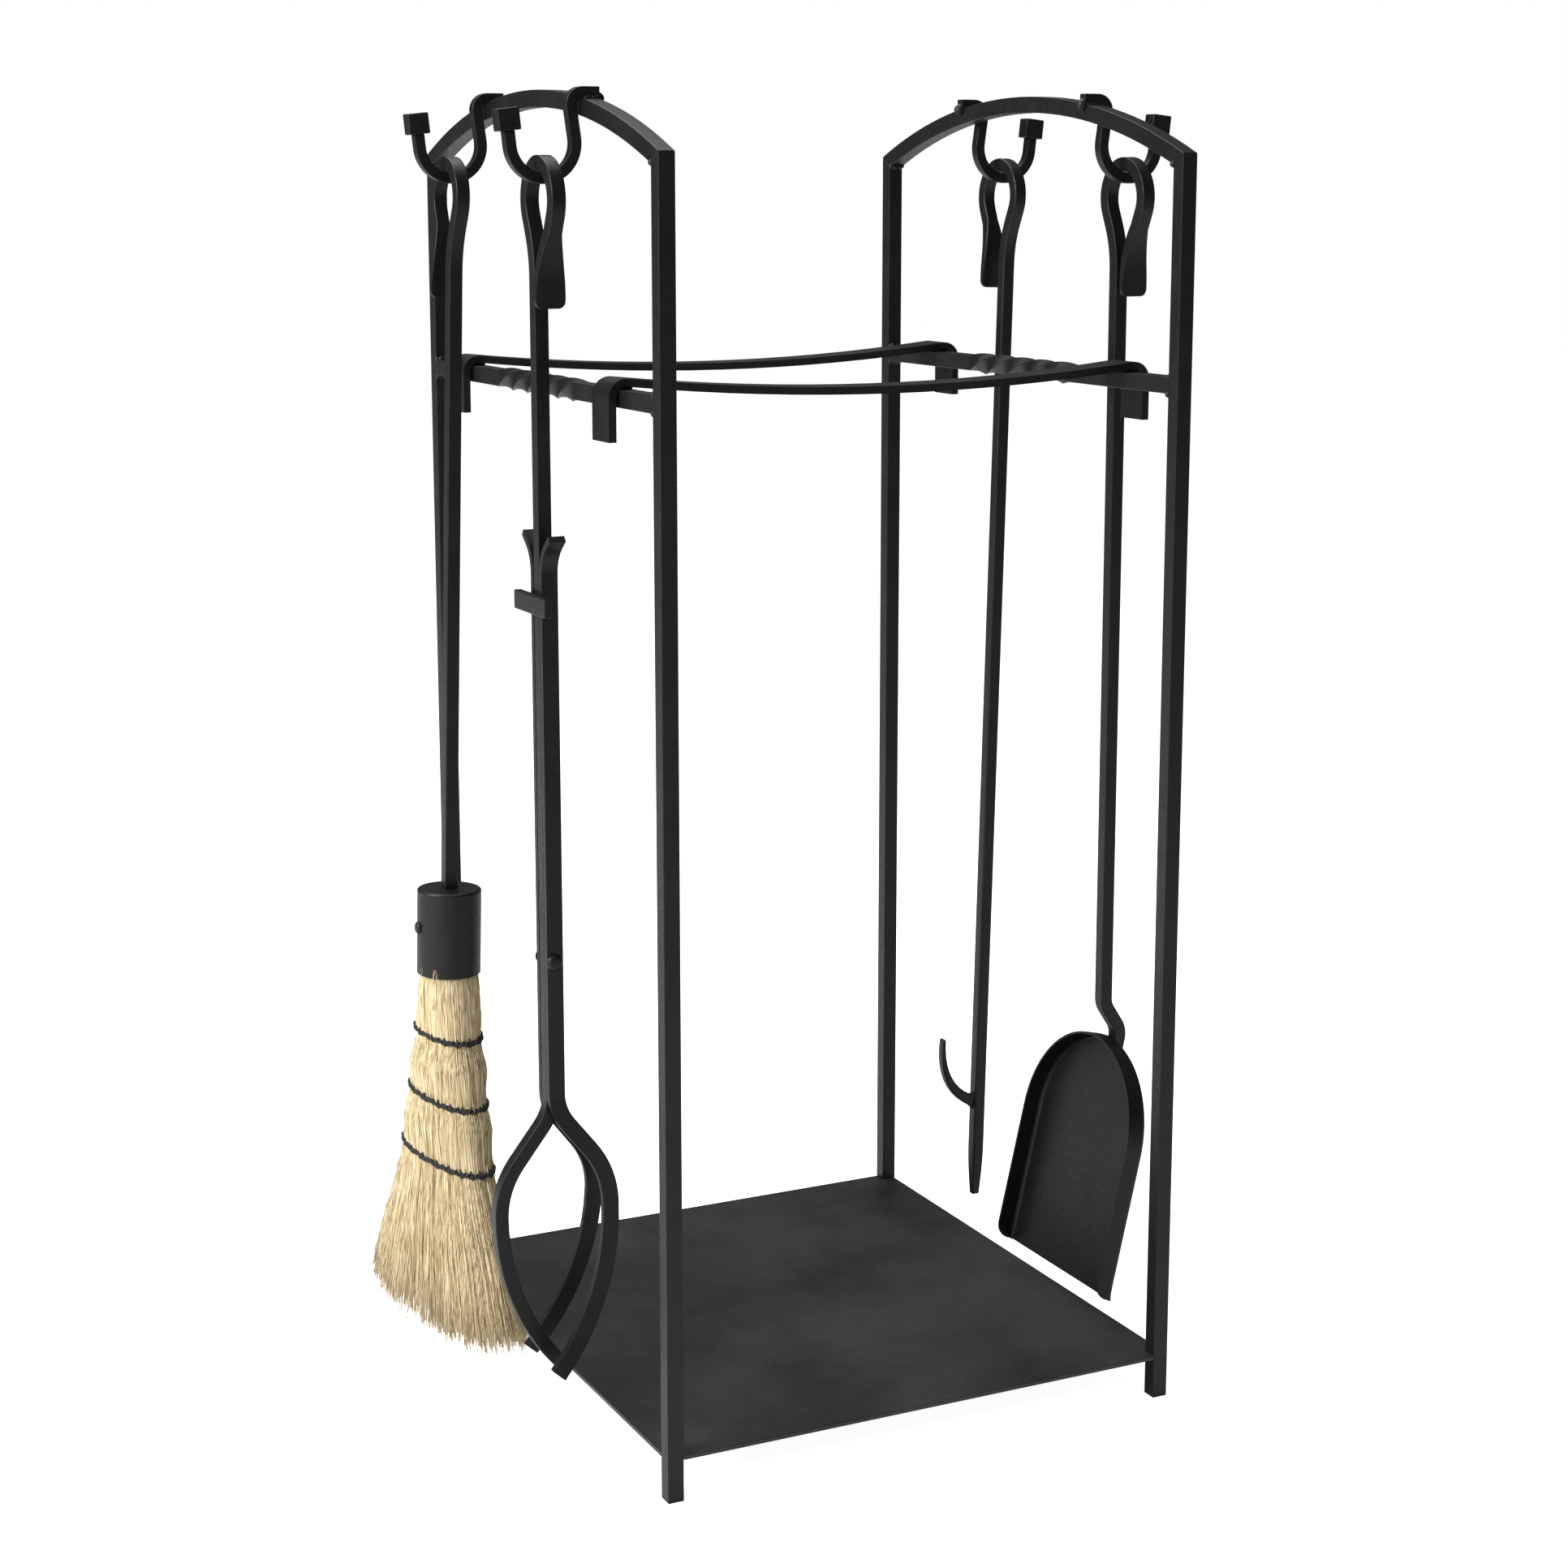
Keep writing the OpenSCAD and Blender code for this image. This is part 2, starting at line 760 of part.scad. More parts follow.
// One yoke bar with its prong and a bore for the rivet.
module tongs_yoke(place) {
    color(COAT)
    at_tongs()
    translate([yoke_x, tongs_rod_y + place * yoke_y, 0])
    difference() {
        intersection() {
            mirror([0, place == FRONT ? 1 : 0, 0]) yoke_edge(250);
            yoke_face(400);
        }
        translate([-yoke_x, 0, -rivet_depth]) rotate([90, 0, 0])
            cylinder(h = 3 * yoke_thickness, r = rivet_radius + rivet_clearance,
                     center = true, $fn = 48);
    }
}

// The plate across the two yoke bars: a finger rest that stops against the rod.
module tongs_cross_plate() {
    plate_x = -half_rod - stop_gap - cross_plate_size[0];
    color(COAT)
    at_tongs()
    translate([plate_x, tongs_rod_y - cross_plate_size[1] / 2,
               -cross_plate_depth - cross_plate_size[2] / 2])
        cube(cross_plate_size);
}

// The hanging poker's own frame, leaning about the hinge axis.
module at_poker() {
    at_axis(RIGHT, BACK) rotate([0, poker_lean, 0]) children();
}

// A wedge that narrows downwards from the rod's side to a blunt point.
module point_wedge() {
    rotate([90, 0, 0])
        linear_extrude(2 * rod, center = true)
            polygon([
                [-half_rod, splice], [-half_rod, 0], [-tip_half, -point_length],
                [tip_half, -point_length], [half_rod, 0], [half_rod, splice]
            ]);
}

module poker_rod() {
    shoulder = poker_depth - point_length;
    color(COAT)
    at_poker() {
        handle(shoulder, FRONT);
        translate([0, -neck_offset, -shoulder])
            intersection() {
                point_wedge();
                rotate([0, 0, 90]) point_wedge();
            }
    }
}

// A point on the tine's centre line, from its root (t = 0) to its tip (t = 1).
function tine_point(t) = [
    -half_rod - 2 * t * (1 - t) * tine_reach * 0.95 - t * t * (tine_reach - half_rod),
    2 * t * (1 - t) * tine_rise * 0.25 + t * t * tine_rise
];

// The tine's direction at t, as a unit vector.
function tine_heading(t) =
    let (step = 0.001, way = tine_point(t + step) - tine_point(t - step)) way / norm(way);

// A point beside the centre line, on the side given by sign.
function tine_edge(t, sign) =
    let (way = tine_heading(t), half = tine_root_half + t * (tine_tip_half - tine_root_half))
    tine_point(t) + sign * half * [-way[1], way[0]];

// The poker's curved and tapered side tine.
module poker_tine() {
    ts = [for (i = [0 : tine_steps]) i / tine_steps];
    outline = concat(
        [for (t = ts) tine_edge(t, 1)],
        [for (i = [tine_steps : -1 : 0]) tine_edge(i / tine_steps, -1)]
    );
    color(COAT)
    at_poker()
    translate([0, -neck_offset, -tine_root_depth])
    difference() {
        rotate([90, 0, 0]) linear_extrude(tine_depth, center = true) polygon(outline);
        translate([-half_rod, -rod, -rod * 2]) cube([rod, 2 * rod, 4 * rod]);
    }
}

// The shovel's own frame.
module at_shovel() {
    at_axis(RIGHT, FRONT) children();
}

// Moves children to the start of the shovel's bent lower end, heading down.
module at_shovel_bend() {
    translate([0, neck_offset, splice - shovel_bend_depth]) into_xz() rotate([0, 0, -90]) children();
}

module shovel_rod() {
    color(COAT)
    at_shovel() {
        handle(shovel_bend_depth, BACK);
        at_shovel_bend() bent_bar(shovel_path, rod, rod);
    }
}

// The pan's outline, drawn inset by a margin: its round end is at the origin
// and its sides run along +X to the lip.
module pan_outline(margin, length) {
    half = pan_width / 2 - margin;
    top_radius = pan_top_radius - margin;
    rise = pan_round_height - pan_top_radius;
    side_radius = (rise * rise + half * half - top_radius * top_radius) / (2 * (half - top_radius));
    meet_x = pan_top_radius - top_radius * rise / (side_radius - top_radius);
    translate([pan_top_radius, 0]) circle(top_radius, $fn = 96);
    intersection() {
        translate([pan_round_height, half - side_radius]) circle(side_radius, $fn = 360);
        translate([pan_round_height, side_radius - half]) circle(side_radius, $fn = 360);
        translate([meet_x, -half]) square([pan_round_height - meet_x + lap, 2 * half]);
    }
    translate([pan_round_height, -half]) square([length - pan_round_height, 2 * half]);
}

// The pan: a sheet floor, a wall around it and an open lip.
module shovel_pan() {
    color(COAT)
    at_shovel() at_shovel_bend() follow(shovel_path)
    translate([-shovel_weld_length - pan_top_reach, -half_rod, 0])
    rotate([90, 0, 0])
    difference() {
        linear_extrude(pan_depth) pan_outline(0, pan_length);
        translate([0, 0, pan_sheet])
            linear_extrude(pan_depth) pan_outline(pan_sheet, pan_length + 2);
        lip_corner();
    }
}

// The round that takes the corners off the pan's walls at the lip.
module lip_corner() {
    translate([pan_length - pan_lip_radius, 0, pan_depth - pan_lip_radius])
        rotate([90, 0, 0])
            linear_extrude(2 * pan_width, center = true)
                difference() {
                    square(2 * pan_lip_radius);
                    circle(pan_lip_radius, $fn = 64);
                }
}

placed() post(LEFT, FRONT);  // post_front_left
placed() post(LEFT, BACK);  // post_back_left
placed() post(RIGHT, FRONT);  // post_front_right
placed() post(RIGHT, BACK);  // post_back_right
placed() arch(LEFT);  // arch_left
placed() arch(RIGHT);  // arch_right
placed() crossbar(LEFT);  // crossbar_left
placed() crossbar(RIGHT);  // crossbar_right
placed() strap(FRONT);  // strap_front
placed() strap(BACK);  // strap_back
placed() base_plate();
placed() hook(LEFT, BACK);  // hook_brush
placed() hook(LEFT, FRONT);  // hook_tongs
placed() hook(RIGHT, BACK);  // hook_poker
placed() hook(RIGHT, FRONT);  // hook_shovel
placed() knob(LEFT, BACK);  // knob_brush
placed() knob(LEFT, FRONT);  // knob_tongs
placed() knob(RIGHT, BACK);  // knob_poker
placed() knob(RIGHT, FRONT);  // knob_shovel
placed() brush_rod();
placed() brush_ferrule();
placed() ferrule_screw();
placed() brush_core();
placed() bristle_head();
placed() stitch_row(bristle_levels[stitch_rows[0]]);  // stitch_row_top
placed() stitch_row(bristle_levels[stitch_rows[1]]);  // stitch_row_middle
placed() stitch_row(bristle_levels[stitch_rows[2]]);  // stitch_row_bottom
placed() tongs_rod();
placed() tongs_rivet();
placed() tongs_yoke(FRONT);  // tongs_yoke_front
placed() tongs_yoke(BACK);  // tongs_yoke_back
placed() tongs_cross_plate();
placed() poker_rod();
placed() poker_tine();
placed() shovel_rod();
placed() shovel_pan();
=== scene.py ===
"""A fireplace tool set: a square-bar log rack with a brush, tongs, a poker and a shovel.

Everything is modelled in millimetres and brought to metres when a piece is
finished. The rack stands on the floor and each tool hangs on a hook.
"""

import json
import logging
import math
import random
from collections.abc import Iterable
from dataclasses import dataclass
from enum import Enum

import bmesh
import bpy
from bmesh.types import BMEdge, BMesh, BMFace, BMVert
from mathutils import Matrix, Vector


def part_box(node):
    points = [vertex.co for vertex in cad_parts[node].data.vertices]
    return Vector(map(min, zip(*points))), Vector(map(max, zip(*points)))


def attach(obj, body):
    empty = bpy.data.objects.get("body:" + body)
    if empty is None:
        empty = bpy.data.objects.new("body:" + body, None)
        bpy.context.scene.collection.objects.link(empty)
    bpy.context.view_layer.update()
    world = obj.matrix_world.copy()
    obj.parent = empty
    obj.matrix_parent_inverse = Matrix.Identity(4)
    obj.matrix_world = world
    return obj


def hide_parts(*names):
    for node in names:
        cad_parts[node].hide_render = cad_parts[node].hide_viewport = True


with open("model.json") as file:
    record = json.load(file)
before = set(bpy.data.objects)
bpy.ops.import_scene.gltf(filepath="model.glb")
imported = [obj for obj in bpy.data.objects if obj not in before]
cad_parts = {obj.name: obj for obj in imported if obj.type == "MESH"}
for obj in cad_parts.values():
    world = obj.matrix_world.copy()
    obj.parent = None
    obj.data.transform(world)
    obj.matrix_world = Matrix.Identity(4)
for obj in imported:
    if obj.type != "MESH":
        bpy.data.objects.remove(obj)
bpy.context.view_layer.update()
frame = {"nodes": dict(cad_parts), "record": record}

LOG = logging.getLogger("tool_set")
MM = 0.001
SEED = 20


class Side(Enum):
    """An end frame of the rack."""

    LEFT = "left"
    RIGHT = "right"


class Place(Enum):
    """The front or back of the rack."""

    FRONT = "front"
    BACK = "back"


class Tool(Enum):
    """A tool that hangs on the rack."""

    BRUSH = "brush"
    TONGS = "tongs"
    POKER = "poker"
    SHOVEL = "shovel"


class Stand(Enum):
    """Which side of its eye's middle a rod stands on, as a sign along Y."""

    FRONT = -1
    BACK = 1


# --- Finishes -----------------------------------------------------------------


class NodeDesk:
    """Lays out one material's node tree with short calls."""

    def __init__(self, name: str) -> None:
        """Starts a material with only its output and shader.

        Args:
            name: The material's name.
        """
        self.material = bpy.data.materials.new(name)
        self.material.use_nodes = True
        self.tree = self.material.node_tree
        self.shader = self.tree.nodes["Principled BSDF"]
        coordinates = self.add("ShaderNodeTexCoord")
        self.place = coordinates.outputs["Object"]

    def add(self, kind: str) -> bpy.types.Node:
        """Adds a node of a kind."""
        return self.tree.nodes.new(kind)

    def link(self, source: bpy.types.NodeSocket, target: bpy.types.NodeSocket) -> None:
        """Joins an output to an input."""
        self.tree.links.new(source, target)

    def feed(self, name: str, value: bpy.types.NodeSocket | float | tuple[float, ...]) -> None:
        """Gives one of the shader's inputs a socket or a constant.

        Args:
            name: The input's name.
            value: What it gets.
        """
        if isinstance(value, bpy.types.NodeSocket):
            self.link(value, self.shader.inputs[name])
        else:
            self.shader.inputs[name].default_value = value

    def stretched(self, scale: tuple[float, float, float]) -> bpy.types.NodeSocket:
        """Object coordinates scaled along each axis.

        Args:
            scale: The scale along X, Y and Z.

        Returns:
            The scaled coordinates.
        """
        mapping = self.add("ShaderNodeMapping")
        mapping.inputs["Scale"].default_value = scale
        self.link(self.place, mapping.inputs["Vector"])
        return mapping.outputs["Vector"]

    def noise(
        self, place: bpy.types.NodeSocket, scale: float, detail: float = 3.0, rough: float = 0.55
    ) -> bpy.types.NodeSocket:
        """A noise value.

        Args:
            place: The coordinates it reads.
            scale: Its features per metre.
            detail: Its octaves.
            rough: How strong the fine octaves are.

        Returns:
            The noise's value output.
        """
        node = self.add("ShaderNodeTexNoise")
        node.inputs["Scale"].default_value = scale
        node.inputs["Detail"].default_value = detail
        node.inputs["Roughness"].default_value = rough
        self.link(place, node.inputs["Vector"])
        return node.outputs["Fac"]

    def ramp(
        self, value: bpy.types.NodeSocket, stops: list[tuple[float, tuple[float, float, float]]]
    ) -> bpy.types.NodeSocket:
        """Colours a value.

        Args:
            value: The value to colour.
            stops: Positions and their colours.

        Returns:
            The colour output.
        """
        node = self.add("ShaderNodeValToRGB")
        elements = node.color_ramp.elements
        while len(elements) < len(stops):
            elements.new(0.5)
        for element, (position, colour) in zip(elements, stops, strict=True):
            element.position = position
            element.color = (*colour, 1.0)
        self.link(value, node.inputs["Fac"])
        return node.outputs["Color"]

    def span(
        self, value: bpy.types.NodeSocket, low: float, high: float, start: float = 0.3, end: float = 0.7
    ) -> bpy.types.NodeSocket:
        """Maps a value from one range to another.

        Args:
            value: The value.
            low: The result at the start.
            high: The result at the end.
            start: The value that gives low.
            end: The value that gives high.

        Returns:
            The mapped value.
        """
        node = self.add("ShaderNodeMapRange")
        for socket, number in (("From Min", start), ("From Max", end), ("To Min", low), ("To Max", high)):
            node.inputs[socket].default_value = number
        self.link(value, node.inputs["Value"])
        return node.outputs["Result"]

    def mix(
        self, share: bpy.types.NodeSocket, first: bpy.types.NodeSocket, second: bpy.types.NodeSocket
    ) -> bpy.types.NodeSocket:
        """Mixes two colours.

        Args:
            share: How much of the second colour shows.
            first: The first colour.
            second: The second colour.

        Returns:
            The mixed colour.
        """
        node = self.add("ShaderNodeMix")
        node.data_type = "RGBA"
        self.link(share, node.inputs["Factor"])
        self.link(first, node.inputs[6])
        self.link(second, node.inputs[7])
        return node.outputs[2]

    def bump(self, layers: list[tuple[bpy.types.NodeSocket, float, float]]) -> None:
        """Stacks bump layers on the shader.

        Args:
            layers: Heights, each with its strength and its depth in metres.
        """
        below = None
        for height, strength, depth in layers:
            node = self.add("ShaderNodeBump")
            node.inputs["Strength"].default_value = strength
            node.inputs["Distance"].default_value = depth
            self.link(height, node.inputs["Height"])
            if below is not None:
                self.link(below, node.inputs["Normal"])
            below = node.outputs["Normal"]
        self.feed("Normal", below)


@dataclass(frozen=True)
class PowderCoat:
    """Matte black powder coat with a fine orange-peel texture."""

    name: str = "powder_coat"
    dark: tuple[float, float, float] = (0.003, 0.003, 0.0031)
    light: tuple[float, float, float] = (0.006, 0.006, 0.0062)
    specular: float = 0.3

    def material(self) -> bpy.types.Material:
        """Builds the material."""
        desk = NodeDesk(self.name)
        broad = desk.noise(desk.place, 38.0, 4.0)
        grain = desk.noise(desk.place, 1500.0, 2.0)
        peel = desk.noise(desk.place, 420.0, 3.0)
        desk.feed("Base Color", desk.ramp(broad, [(0.35, self.dark), (0.68, self.light)]))
        desk.feed("Roughness", desk.span(peel, 0.36, 0.5))
        desk.feed("Specular IOR Level", self.specular)
        desk.bump([(peel, 0.32, 0.0003), (grain, 0.22, 0.00012)])
        return desk.material


@dataclass(frozen=True)
class PlateCoat:
    """The base plate's coat: dark grey, with faint scuffs, specks and soft patches."""

    name: str = "plate_coat"
    dark: tuple[float, float, float] = (0.009, 0.009, 0.0095)
    light: tuple[float, float, float] = (0.022, 0.022, 0.0225)
    scuff: tuple[float, float, float] = (0.075, 0.075, 0.077)
    specular: float = 0.4

    def material(self) -> bpy.types.Material:
        """Builds the material."""
        desk = NodeDesk(self.name)
        cloud = desk.noise(desk.place, 9.0, 5.0, 0.6)
        fine = desk.noise(desk.place, 700.0, 3.0)
        colour = desk.ramp(cloud, [(0.38, self.dark), (0.62, self.light)])
        scuff = desk.ramp(cloud, [(0.0, self.scuff), (1.0, self.scuff)])
        streak = desk.noise(desk.stretched((14.0, 160.0, 1.0)), 1.0, 6.0, 0.62)
        speck = desk.noise(desk.place, 240.0, 1.0)
        scuffed = desk.mix(desk.span(streak, 0.0, 0.16, 0.6, 0.74), colour, scuff)
        specked = desk.mix(desk.span(speck, 0.0, 0.35, 0.755, 0.8), scuffed, scuff)
        desk.feed("Base Color", specked)
        desk.feed("Roughness", desk.span(cloud, 0.38, 0.5))
        desk.feed("Specular IOR Level", self.specular)
        desk.bump([(fine, 0.3, 0.0002)])
        return desk.material


@dataclass(frozen=True)
class Straw:
    """Dry broom straw: each fibre a little lighter or darker, paler in clumps."""

    name: str = "straw"
    shade: tuple[float, float, float] = (0.27, 0.19, 0.09)
    body: tuple[float, float, float] = (0.56, 0.44, 0.25)
    pale: tuple[float, float, float] = (0.76, 0.66, 0.44)
    specular: float = 0.3

    def material(self) -> bpy.types.Material:
        """Builds the material."""
        desk = NodeDesk(self.name)
        fibre = desk.noise(desk.stretched((1.0, 1.0, 0.02)), 900.0, 2.0)
        clump = desk.noise(desk.stretched((1.0, 1.0, 0.12)), 120.0, 3.0)
        thin = desk.ramp(fibre, [(0.34, self.shade), (0.48, self.body), (0.6, self.pale)])
        wide = desk.ramp(clump, [(0.35, self.shade), (0.5, self.body), (0.7, self.pale)])
        share = desk.span(clump, 0.1, 0.35)
        desk.feed("Base Color", desk.mix(share, thin, wide))
        desk.feed("Roughness", desk.span(fibre, 0.5, 0.75))
        desk.feed("Specular IOR Level", self.specular)
        desk.bump([(fibre, 0.25, 0.0003)])
        return desk.material


@dataclass(frozen=True)
class Twine:
    """Black waxed twine."""

    name: str = "twine"
    dark: tuple[float, float, float] = (0.006, 0.006, 0.006)
    light: tuple[float, float, float] = (0.022, 0.021, 0.02)
    roughness: float = 0.8

    def material(self) -> bpy.types.Material:
        """Builds the material."""
        desk = NodeDesk(self.name)
        fuzz = desk.noise(desk.place, 2200.0, 3.0)
        desk.feed("Base Color", desk.ramp(fuzz, [(0.35, self.dark), (0.7, self.light)]))
        desk.feed("Roughness", self.roughness)
        desk.bump([(fuzz, 0.5, 0.0002)])
        return desk.material


@dataclass(frozen=True)
class CoreWood:
    """Plain turned softwood."""

    name: str = "core_wood"
    early: tuple[float, float, float] = (0.52, 0.36, 0.19)
    late: tuple[float, float, float] = (0.36, 0.22, 0.1)
    roughness: float = 0.65

    def material(self) -> bpy.types.Material:
        """Builds the material."""
        desk = NodeDesk(self.name)
        ring = desk.noise(desk.stretched((1.0, 1.0, 0.05)), 420.0, 4.0)
        desk.feed("Base Color", desk.ramp(ring, [(0.4, self.early), (0.62, self.late)]))
        desk.feed("Roughness", self.roughness)
        desk.bump([(ring, 0.3, 0.0003)])
        return desk.material


@dataclass(frozen=True)
class StudioWhite:
    """The pale studio floor, which shines by itself when it is looked at."""

    name: str = "studio_white"
    low: tuple[float, float, float] = (0.8, 0.8, 0.8)
    high: tuple[float, float, float] = (0.82, 0.82, 0.82)
    glow_cast: float = 0.12
    glow_seen: float = 0.95
    roughness: float = 0.95
    specular: float = 0.1

    def material(self) -> bpy.types.Material:
        """Builds the material."""
        desk = NodeDesk(self.name)
        soft = desk.noise(desk.place, 2.0, 2.0)
        seen = desk.add("ShaderNodeLightPath").outputs["Is Camera Ray"]
        desk.feed("Base Color", desk.ramp(soft, [(0.3, self.low), (0.7, self.high)]))
        desk.feed("Roughness", self.roughness)
        desk.feed("Specular IOR Level", self.specular)
        desk.feed("Emission Color", (1.0, 1.0, 1.0, 1.0))
        desk.feed("Emission Strength", desk.span(seen, self.glow_cast, self.glow_seen, 0.0, 1.0))
        return desk.material


class Finishes:
    """The materials of the set, by the record's slot names."""

    def __init__(self) -> None:
        """Builds every material once."""
        kinds = (PowderCoat(), PlateCoat(), Straw(), Twine(), CoreWood())
        self.by_slot = {kind.name: kind.material() for kind in kinds}

    def dress_cad(self) -> None:
        """Gives each CAD node its slot's material."""
        slots = {part["node"]: part["material_slot"] for part in frame["record"]["subparts"]}
        for node, obj in frame["nodes"].items():
            for entry in obj.material_slots:
                entry.material = self.by_slot[slots[node]]


# --- Building pieces -----------------------------------------------------------


@dataclass(frozen=True)
class Piece:
    """Where a finished mesh belongs: its name, body, slot and the CAD nodes it stands for."""

    name: str
    body: str
    slot: str = "powder_coat"
    stands_for: tuple[str, ...] = ()


class Workshop:
    """Turns finished bmeshes into named, dressed pieces."""

    def __init__(self, finishes: Finishes) -> None:
        """Keeps the finishes.

        Args:
            finishes: The set's materials.
        """
        self.finishes = finishes
        self.count = 0

    def place(self, piece: Piece, obj: bpy.types.Object) -> bpy.types.Object:
        """Dresses an object and ties it to its body.

        Args:
            piece: Where the object belongs.
            obj: The object, with its place in its mesh.

        Returns:
            The object.
        """
        obj.data.materials.clear()
        obj.data.materials.append(self.finishes.by_slot[piece.slot])
        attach(obj, piece.body)
        if piece.stands_for:
            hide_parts(*piece.stands_for)
        self.count += 1
        LOG.info("%s: %d faces on %s", piece.name, len(obj.data.polygons), piece.body)
        return obj

    def finish(
        self, piece: Piece, mesh: BMesh, smooth_angle: float = 50.0, weighted: bool = True
    ) -> bpy.types.Object:
        """Makes an object from a mesh in millimetres.

        Args:
            piece: Where it belongs.
            mesh: The mesh, which is freed.
            smooth_angle: Edges sharper than this stay sharp, in degrees.
            weighted: Whether large faces shade flat beside small ones.

        Returns:
            The finished object.
        """
        bmesh.ops.remove_doubles(mesh, verts=mesh.verts, dist=0.0005)
        bmesh.ops.recalc_face_normals(mesh, faces=mesh.faces)
        bmesh.ops.scale(mesh, vec=(MM, MM, MM), verts=mesh.verts)
        data = bpy.data.meshes.new(piece.name)
        mesh.to_mesh(data)
        mesh.free()
        data.shade_smooth()
        data.set_sharp_from_angle(angle=math.radians(smooth_angle))
        obj = new_object(piece.name, data)
        if weighted:
            modifier = obj.modifiers.new("even_shading", "WEIGHTED_NORMAL")
            modifier.keep_sharp = True
        return self.place(piece, obj)

    def softened_copy(
        self, node: str, body: str, width: float, slot: str = "powder_coat"
    ) -> bpy.types.Object:
        """A copy of a CAD node with its edges rounded, which stands for it.

        Args:
            node: The CAD node.
            body: The body it rides on.
            width: The rounding of its edges, in millimetres.
            slot: Its material slot.

        Returns:
            The copy.
        """
        mesh = cad_copy(node)
        soften(mesh, width)
        return self.finish(Piece(node + "_softened", body, slot, (node,)), mesh)


def new_object(name: str, data: bpy.types.ID) -> bpy.types.Object:
    """A new object in the scene that holds some data."""
    obj = bpy.data.objects.new(name, data)
    bpy.context.scene.collection.objects.link(obj)
    return obj


def node_box(node: str) -> tuple[Vector, Vector]:
    """A CAD node's lowest and highest corners, in millimetres."""
    low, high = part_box(node)
    return Vector(low) / MM, Vector(high) / MM


def cad_copy(node: str) -> BMesh:
    """A merged copy of a CAD node's mesh, in millimetres.

    Args:
        node: The CAD node.

    Returns:
        The copy, with its flat triangles joined into faces.
    """
    mesh = bmesh.new()
    mesh.from_mesh(frame["nodes"][node].data)
    bmesh.ops.scale(mesh, vec=(1 / MM, 1 / MM, 1 / MM), verts=mesh.verts)
    bmesh.ops.remove_doubles(mesh, verts=mesh.verts, dist=0.002)
    bmesh.ops.dissolve_limit(mesh, angle_limit=math.radians(0.6), verts=mesh.verts, edges=mesh.edges)
    return mesh


def round_edges(
    mesh: BMesh, edges: list[BMEdge], width: float, segments: int = 3, clamp: bool = True
) -> None:
    """Rounds edges of a mesh.

    Args:
        mesh: The mesh.
        edges: The edges.
        width: The rounding, in the mesh's units.
        segments: How many facets make it.
        clamp: Whether the rounding is kept from running into itself.
    """
    bmesh.ops.bevel(
        mesh, geom=edges, offset=width, offset_type="OFFSET", segments=segments, profile=0.5,
        affect="EDGES", material=-1, clamp_overlap=clamp,
    )


def soften(mesh: BMesh, width: float, angle: float = 35.0) -> None:
    """Rounds the edges where two faces meet at more than an angle in degrees."""
    limit = math.radians(angle)
    edges = [e for e in mesh.edges if len(e.link_faces) == 2 and e.calc_face_angle(0.0) > limit]
    round_edges(mesh, edges, width)


def verts_in(parts: list[BMVert | BMEdge | BMFace]) -> list[BMVert]:
    """The vertices among an operator's results."""
    return [part for part in parts if isinstance(part, BMVert)]


def face_in(parts: list[BMVert | BMEdge | BMFace]) -> BMFace:
    """The first face among an operator's results."""
    return next(part for part in parts if isinstance(part, BMFace))


def outermost(faces: Iterable[BMFace], place: Matrix) -> BMFace:
    """The face that lies furthest along a place's Z."""
    return max(faces, key=lambda f: (place.inverted() @ f.calc_center_median()).z)


def boundary(mesh: BMesh) -> list[BMEdge]:
    """The open edges of a mesh."""
    return [edge for edge in mesh.edges if edge.is_boundary]


@dataclass(frozen=True)
class Section:
    """A bar's section: its width in the bending plane, its thickness and its corner radius."""

    width: float
    thickness: float
    corner: float = 0.9


@dataclass(frozen=True)
class Line:
    """A straight run of a bar's path."""

    length: float

    def end(self, at: Matrix) -> Matrix:
        """Where a bar at a place gets to along this run."""
        return at @ Matrix.Translation((self.length, 0, 0))

    def draw_back(self, bar: "Bar") -> None:
        """Draws this run on a bar from its end to its start."""
        bar.line(self.length)


@dataclass(frozen=True)
class Bend:
    """A round bend of a bar's path, positive to the left."""

    turn: float
    radius: float

    def end(self, at: Matrix) -> Matrix:
        """Where a bar at a place gets to round this bend."""
        side = math.copysign(self.radius, self.turn)
        turned = Matrix.Rotation(math.radians(self.turn), 4, "Z")
        return at @ Matrix.Translation((0, side, 0)) @ turned @ Matrix.Translation((0, -side, 0))

    def draw_back(self, bar: "Bar") -> None:
        """Draws this bend on a bar from its end to its start."""
        bar.bend(-self.turn, self.radius, 3)


UP_IN_YZ = Matrix(((0, 0, -1, 0), (0, 1, 0, 0), (1, 0, 0, 0), (0, 0, 0, 1)))
DOWN_IN_XZ = Matrix(((0, 1, 0, 0), (0, 0, -1, 0), (-1, 0, 0, 0), (0, 0, 0, 1)))


